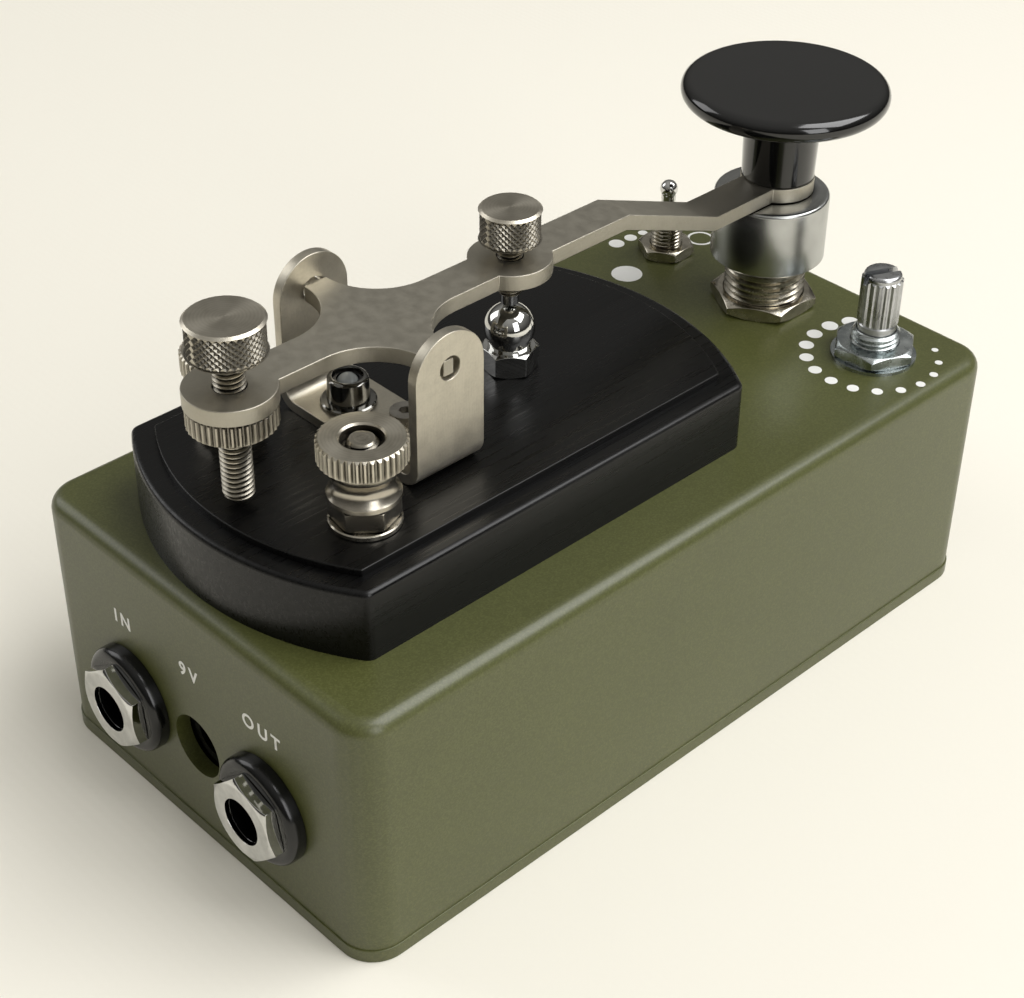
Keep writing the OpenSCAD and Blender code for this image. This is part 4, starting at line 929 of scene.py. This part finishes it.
# indicator light
bezelLook = {"rise": 1.5, "flangeRadius": 3.7, "bodyRadius": 2.85, "lipRadius": 2.25,
             "seatRadius": 1.56, "ringRadius": 1.95, "ringBoreRadius": 1.52}
ledX, ledY, _ = middle("led_bezel")
bezelTop = reach("led_bezel", 2)[1]
bezelLow = baseTop + bezelLook["rise"]
flange, body, lip = bezelLook["flangeRadius"], bezelLook["bodyRadius"], bezelLook["lipRadius"]
bezel = turned("chrome_bezel", [(flange - 0.2, bezelLow), (flange, bezelLow + 0.15),
                                (flange, bezelLow + 0.5), (flange - 0.2, bezelLow + 0.68),
                                (body, bezelLow + 0.72), (body - 0.15, bezelTop - 0.35),
                                (lip + 0.25, bezelTop - 0.1), (lip, bezelTop)], 64)
seat = bezelLook["seatRadius"]
combine(bezel, turned("seat", [(seat, bezelLow - 1), (seat, bezelTop - 0.8),
                               (lip - 0.25, bezelTop - 0.7), (lip - 0.1, bezelTop + 1)], 48))
settle(closeUp(bezel, 30), ledX, ledY)
standIn(bezel, darkChrome, "led_bezel")
ring = turned("dark_ring", [(bezelLook["ringRadius"], bezelTop - 0.75),
                            (bezelLook["ringRadius"], bezelTop - 0.45)], 48)
combine(ring, bar(32, bezelLook["ringBoreRadius"], bezelTop - 2, bezelTop + 1))
addOn(settle(closeUp(ring), ledX, ledY), blackPlastic, "led_bezel")
print("light done")

# jack end
jackLook = {"washerRadius": 7.7, "washerThick": 2.4, "washerRound": 1.2, "washerBoreRadius": 4.6,
            "flats": 11, "nutBore": 6.6, "turns": (35, 42)}
frontY = reach("case_shell", 1)[0]
nutFront, nutBack = reach("jack_nuts", 1)
washerFront, washerBack = reach("jack_washers", 1)
jackZ = middle("jack_washers")[2]
jackHalf = middle("output_jack")[0]
rim, thick, edge = jackLook["washerRadius"], jackLook["washerThick"], jackLook["washerRound"]
leftRing = turned("ring", [(rim - 0.1, 0), (rim, 0.12), (rim, thick - edge - 0.1)]
                  + arc(rim - edge, thick - edge, edge, 15, 90, 6) + [(6, thick - 0.05)])
combine(leftRing, bar(64, jackLook["washerBoreRadius"], -1, thick + 1))
settle(closeUp(leftRing, 30), -jackHalf, washerBack, jackZ, 90)
rightRing = another(leftRing, "right_ring", 2 * jackHalf)
standIn(join("jack_washer_pair", leftRing, rightRing), blackPlastic, "jack_washers")
leftTurn, rightTurn = jackLook["turns"]
leftNut = hexNut("left_nut_part", jackLook["flats"], 0, nutBack - nutFront, jackLook["nutBore"],
                 leftTurn, (False, True))
rightNut = another(leftNut, "right_nut_part", turn=rightTurn - leftTurn)
settle(leftNut, -jackHalf, washerFront, jackZ, 90)
settle(rightNut, jackHalf, washerFront, jackZ, 90)
standIn(join("jack_nut_pair", leftNut, rightNut), chrome, "jack_nuts")
print("jack end done")

# printed marks: thin white ink on the paint, all in mm
inkThick = 0.03
markLook = {
    "dots": ((-19.2, 37.6, 4.8), (-26.9, 43.3, 2.5), (-26.7, 46.3, 2.0), (-26.5, 48.9, 1.5)),
    "ring": (-19, 54.3, 4.3), "ringHoleRadius": 1.75,
}
dial = {"count": 15, "radius": 9.6, "first": 127, "step": 20.65, "largest": 2.7, "smallest": 1.0,
        "offset": (0.2, -0.5)}
wordLook = {"size": 2.9, "spacing": 1.45, "weight": 0.06, "height": 27.8,
            "places": {"IN": -15.1, "9V": -0.8, "OUT": 14.0}}


def inkDot(x, y, diameter):
    dot = turned("dot", [(diameter / 2, caseTop + 0.002), (diameter / 2, caseTop + inkThick)], 32)
    return settle(dot, x, y)


marks = [inkDot(x, y, diameter) for x, y, diameter in markLook["dots"]]
ringX, ringY, ringWide = markLook["ring"]
openRing = inkDot(0, 0, ringWide)
combine(openRing, bar(32, markLook["ringHoleRadius"], caseTop - 1, caseTop + 1))
marks.append(settle(closeUp(openRing), ringX, ringY))
dialX, dialY = potX + dial["offset"][0], potY + dial["offset"][1]
for i in range(dial["count"]):
    turn = math.radians(dial["first"] + dial["step"] * i)
    share = i / (dial["count"] - 1)
    size = dial["largest"] + (dial["smallest"] - dial["largest"]) * share
    marks.append(inkDot(dialX + dial["radius"] * math.cos(turn),
                        dialY + dial["radius"] * math.sin(turn), size))
addOn(join("printed_dots", *marks), whiteInk, "case_shell")

words = []
for word, x in wordLook["places"].items():
    clearSelection()
    bpy.ops.object.text_add(location=(0, 0, 0))
    text = bpy.context.object
    text.data.body = word
    text.data.size = wordLook["size"] * mm
    text.data.align_x = "CENTER"
    text.data.align_y = "CENTER"
    text.data.space_character = wordLook["spacing"]
    text.data.offset = wordLook["weight"] * mm
    text.data.extrude = inkThick / 2 * mm
    bpy.ops.object.convert(target="MESH")
    words.append(settle(closeUp(bpy.context.object), x, frontY - inkThick / 2 - 0.002,
                        wordLook["height"], 90))
addOn(join("printed_words", *words), whiteInk, "case_shell")
print("prints done")

# floor, light and camera
clearSelection()
bpy.ops.mesh.primitive_plane_add(size=3, location=(0, 0, -0.02 * mm))
floor = bpy.context.object
floor.name = "floor"
cloth, clothShader, clothPlace = surface("white_cloth", Roughness=0.9)
thread = 0.8  # mm, coarser than the real thread so that it shows
threadScale = 1 / (thread * waveStep * mm)
weaveX = node(cloth, "ShaderNodeTexWave",
              {"bands_direction": "X", "Scale": threadScale, "Distortion": 0.6},
              {"Vector": clothPlace})
weaveY = node(cloth, "ShaderNodeTexWave",
              {"bands_direction": "Y", "Scale": threadScale, "Distortion": 0.6},
              {"Vector": clothPlace})
weave = node(cloth, "ShaderNodeMath", {"operation": "MULTIPLY"},
             {0: weaveX.outputs["Fac"], 1: weaveY.outputs["Fac"]})
clothBump = node(cloth, "ShaderNodeBump", {"Strength": 0.12, "Distance": 0.1 * mm},
                 {"Height": weave.outputs[0]})
link(cloth, clothBump.outputs["Normal"], clothShader.inputs["Normal"])
clothShader.inputs["Base Color"].default_value = tone("#ece8dc")
floor.data.materials.append(cloth)

lights = {  # place in mm, aim in mm, size in mm, watts
    "overhead": ((420, 380, 900), (0, 0, 0), (800, 800), 10.5),
    "window": ((800, -150, 420), (0, 0, 30), (350, 600), 2.6),
    "fill": ((-700, -300, 450), (0, 0, 20), (400, 500), 1.5),
}
for name, (place, aim, size, power) in lights.items():
    clearSelection()
    bpy.ops.object.light_add(type="AREA", location=[c * mm for c in place])
    lamp = bpy.context.object
    lamp.name = name
    lamp.data.shape = "RECTANGLE"
    lamp.data.size, lamp.data.size_y = (s * mm for s in size)
    lamp.data.energy = power
    direction = Vector(aim) - Vector(place)
    lamp.rotation_euler = direction.to_track_quat("-Z", "Y").to_euler()

world = bpy.data.worlds.new("studio")  # a dim room under a paler ceiling
world.use_nodes = True
skyPlace = node(world, "ShaderNodeTexCoord")
skySplit = node(world, "ShaderNodeSeparateXYZ", None, {"Vector": skyPlace.outputs["Generated"]})
sky = node(world, "ShaderNodeValToRGB", None, {"Fac": skySplit.outputs["Z"]})
sky.color_ramp.elements[0].position = 0.05
sky.color_ramp.elements[0].color = tone("#4a4946")
sky.color_ramp.elements[1].position = 0.95
sky.color_ramp.elements[1].color = tone("#e2e0da")
background = world.node_tree.nodes["Background"]
link(world, sky.outputs["Color"], background.inputs["Color"])
background.inputs["Strength"].default_value = 0.6
bpy.context.scene.world = world
bpy.context.scene.view_settings.view_transform = "Standard"

cameraLook = {"place": (166.4, -165.25, 197.12), "turn": (53.753, -0.468, 46.423), "lens": 71.61}
clearSelection()
bpy.ops.object.camera_add(location=[c * mm for c in cameraLook["place"]],
                          rotation=[math.radians(a) for a in cameraLook["turn"]])
camera = bpy.context.object
camera.data.lens = cameraLook["lens"]
camera.data.sensor_width = 36
camera.data.clip_start = 0.01
bpy.context.scene.camera = camera
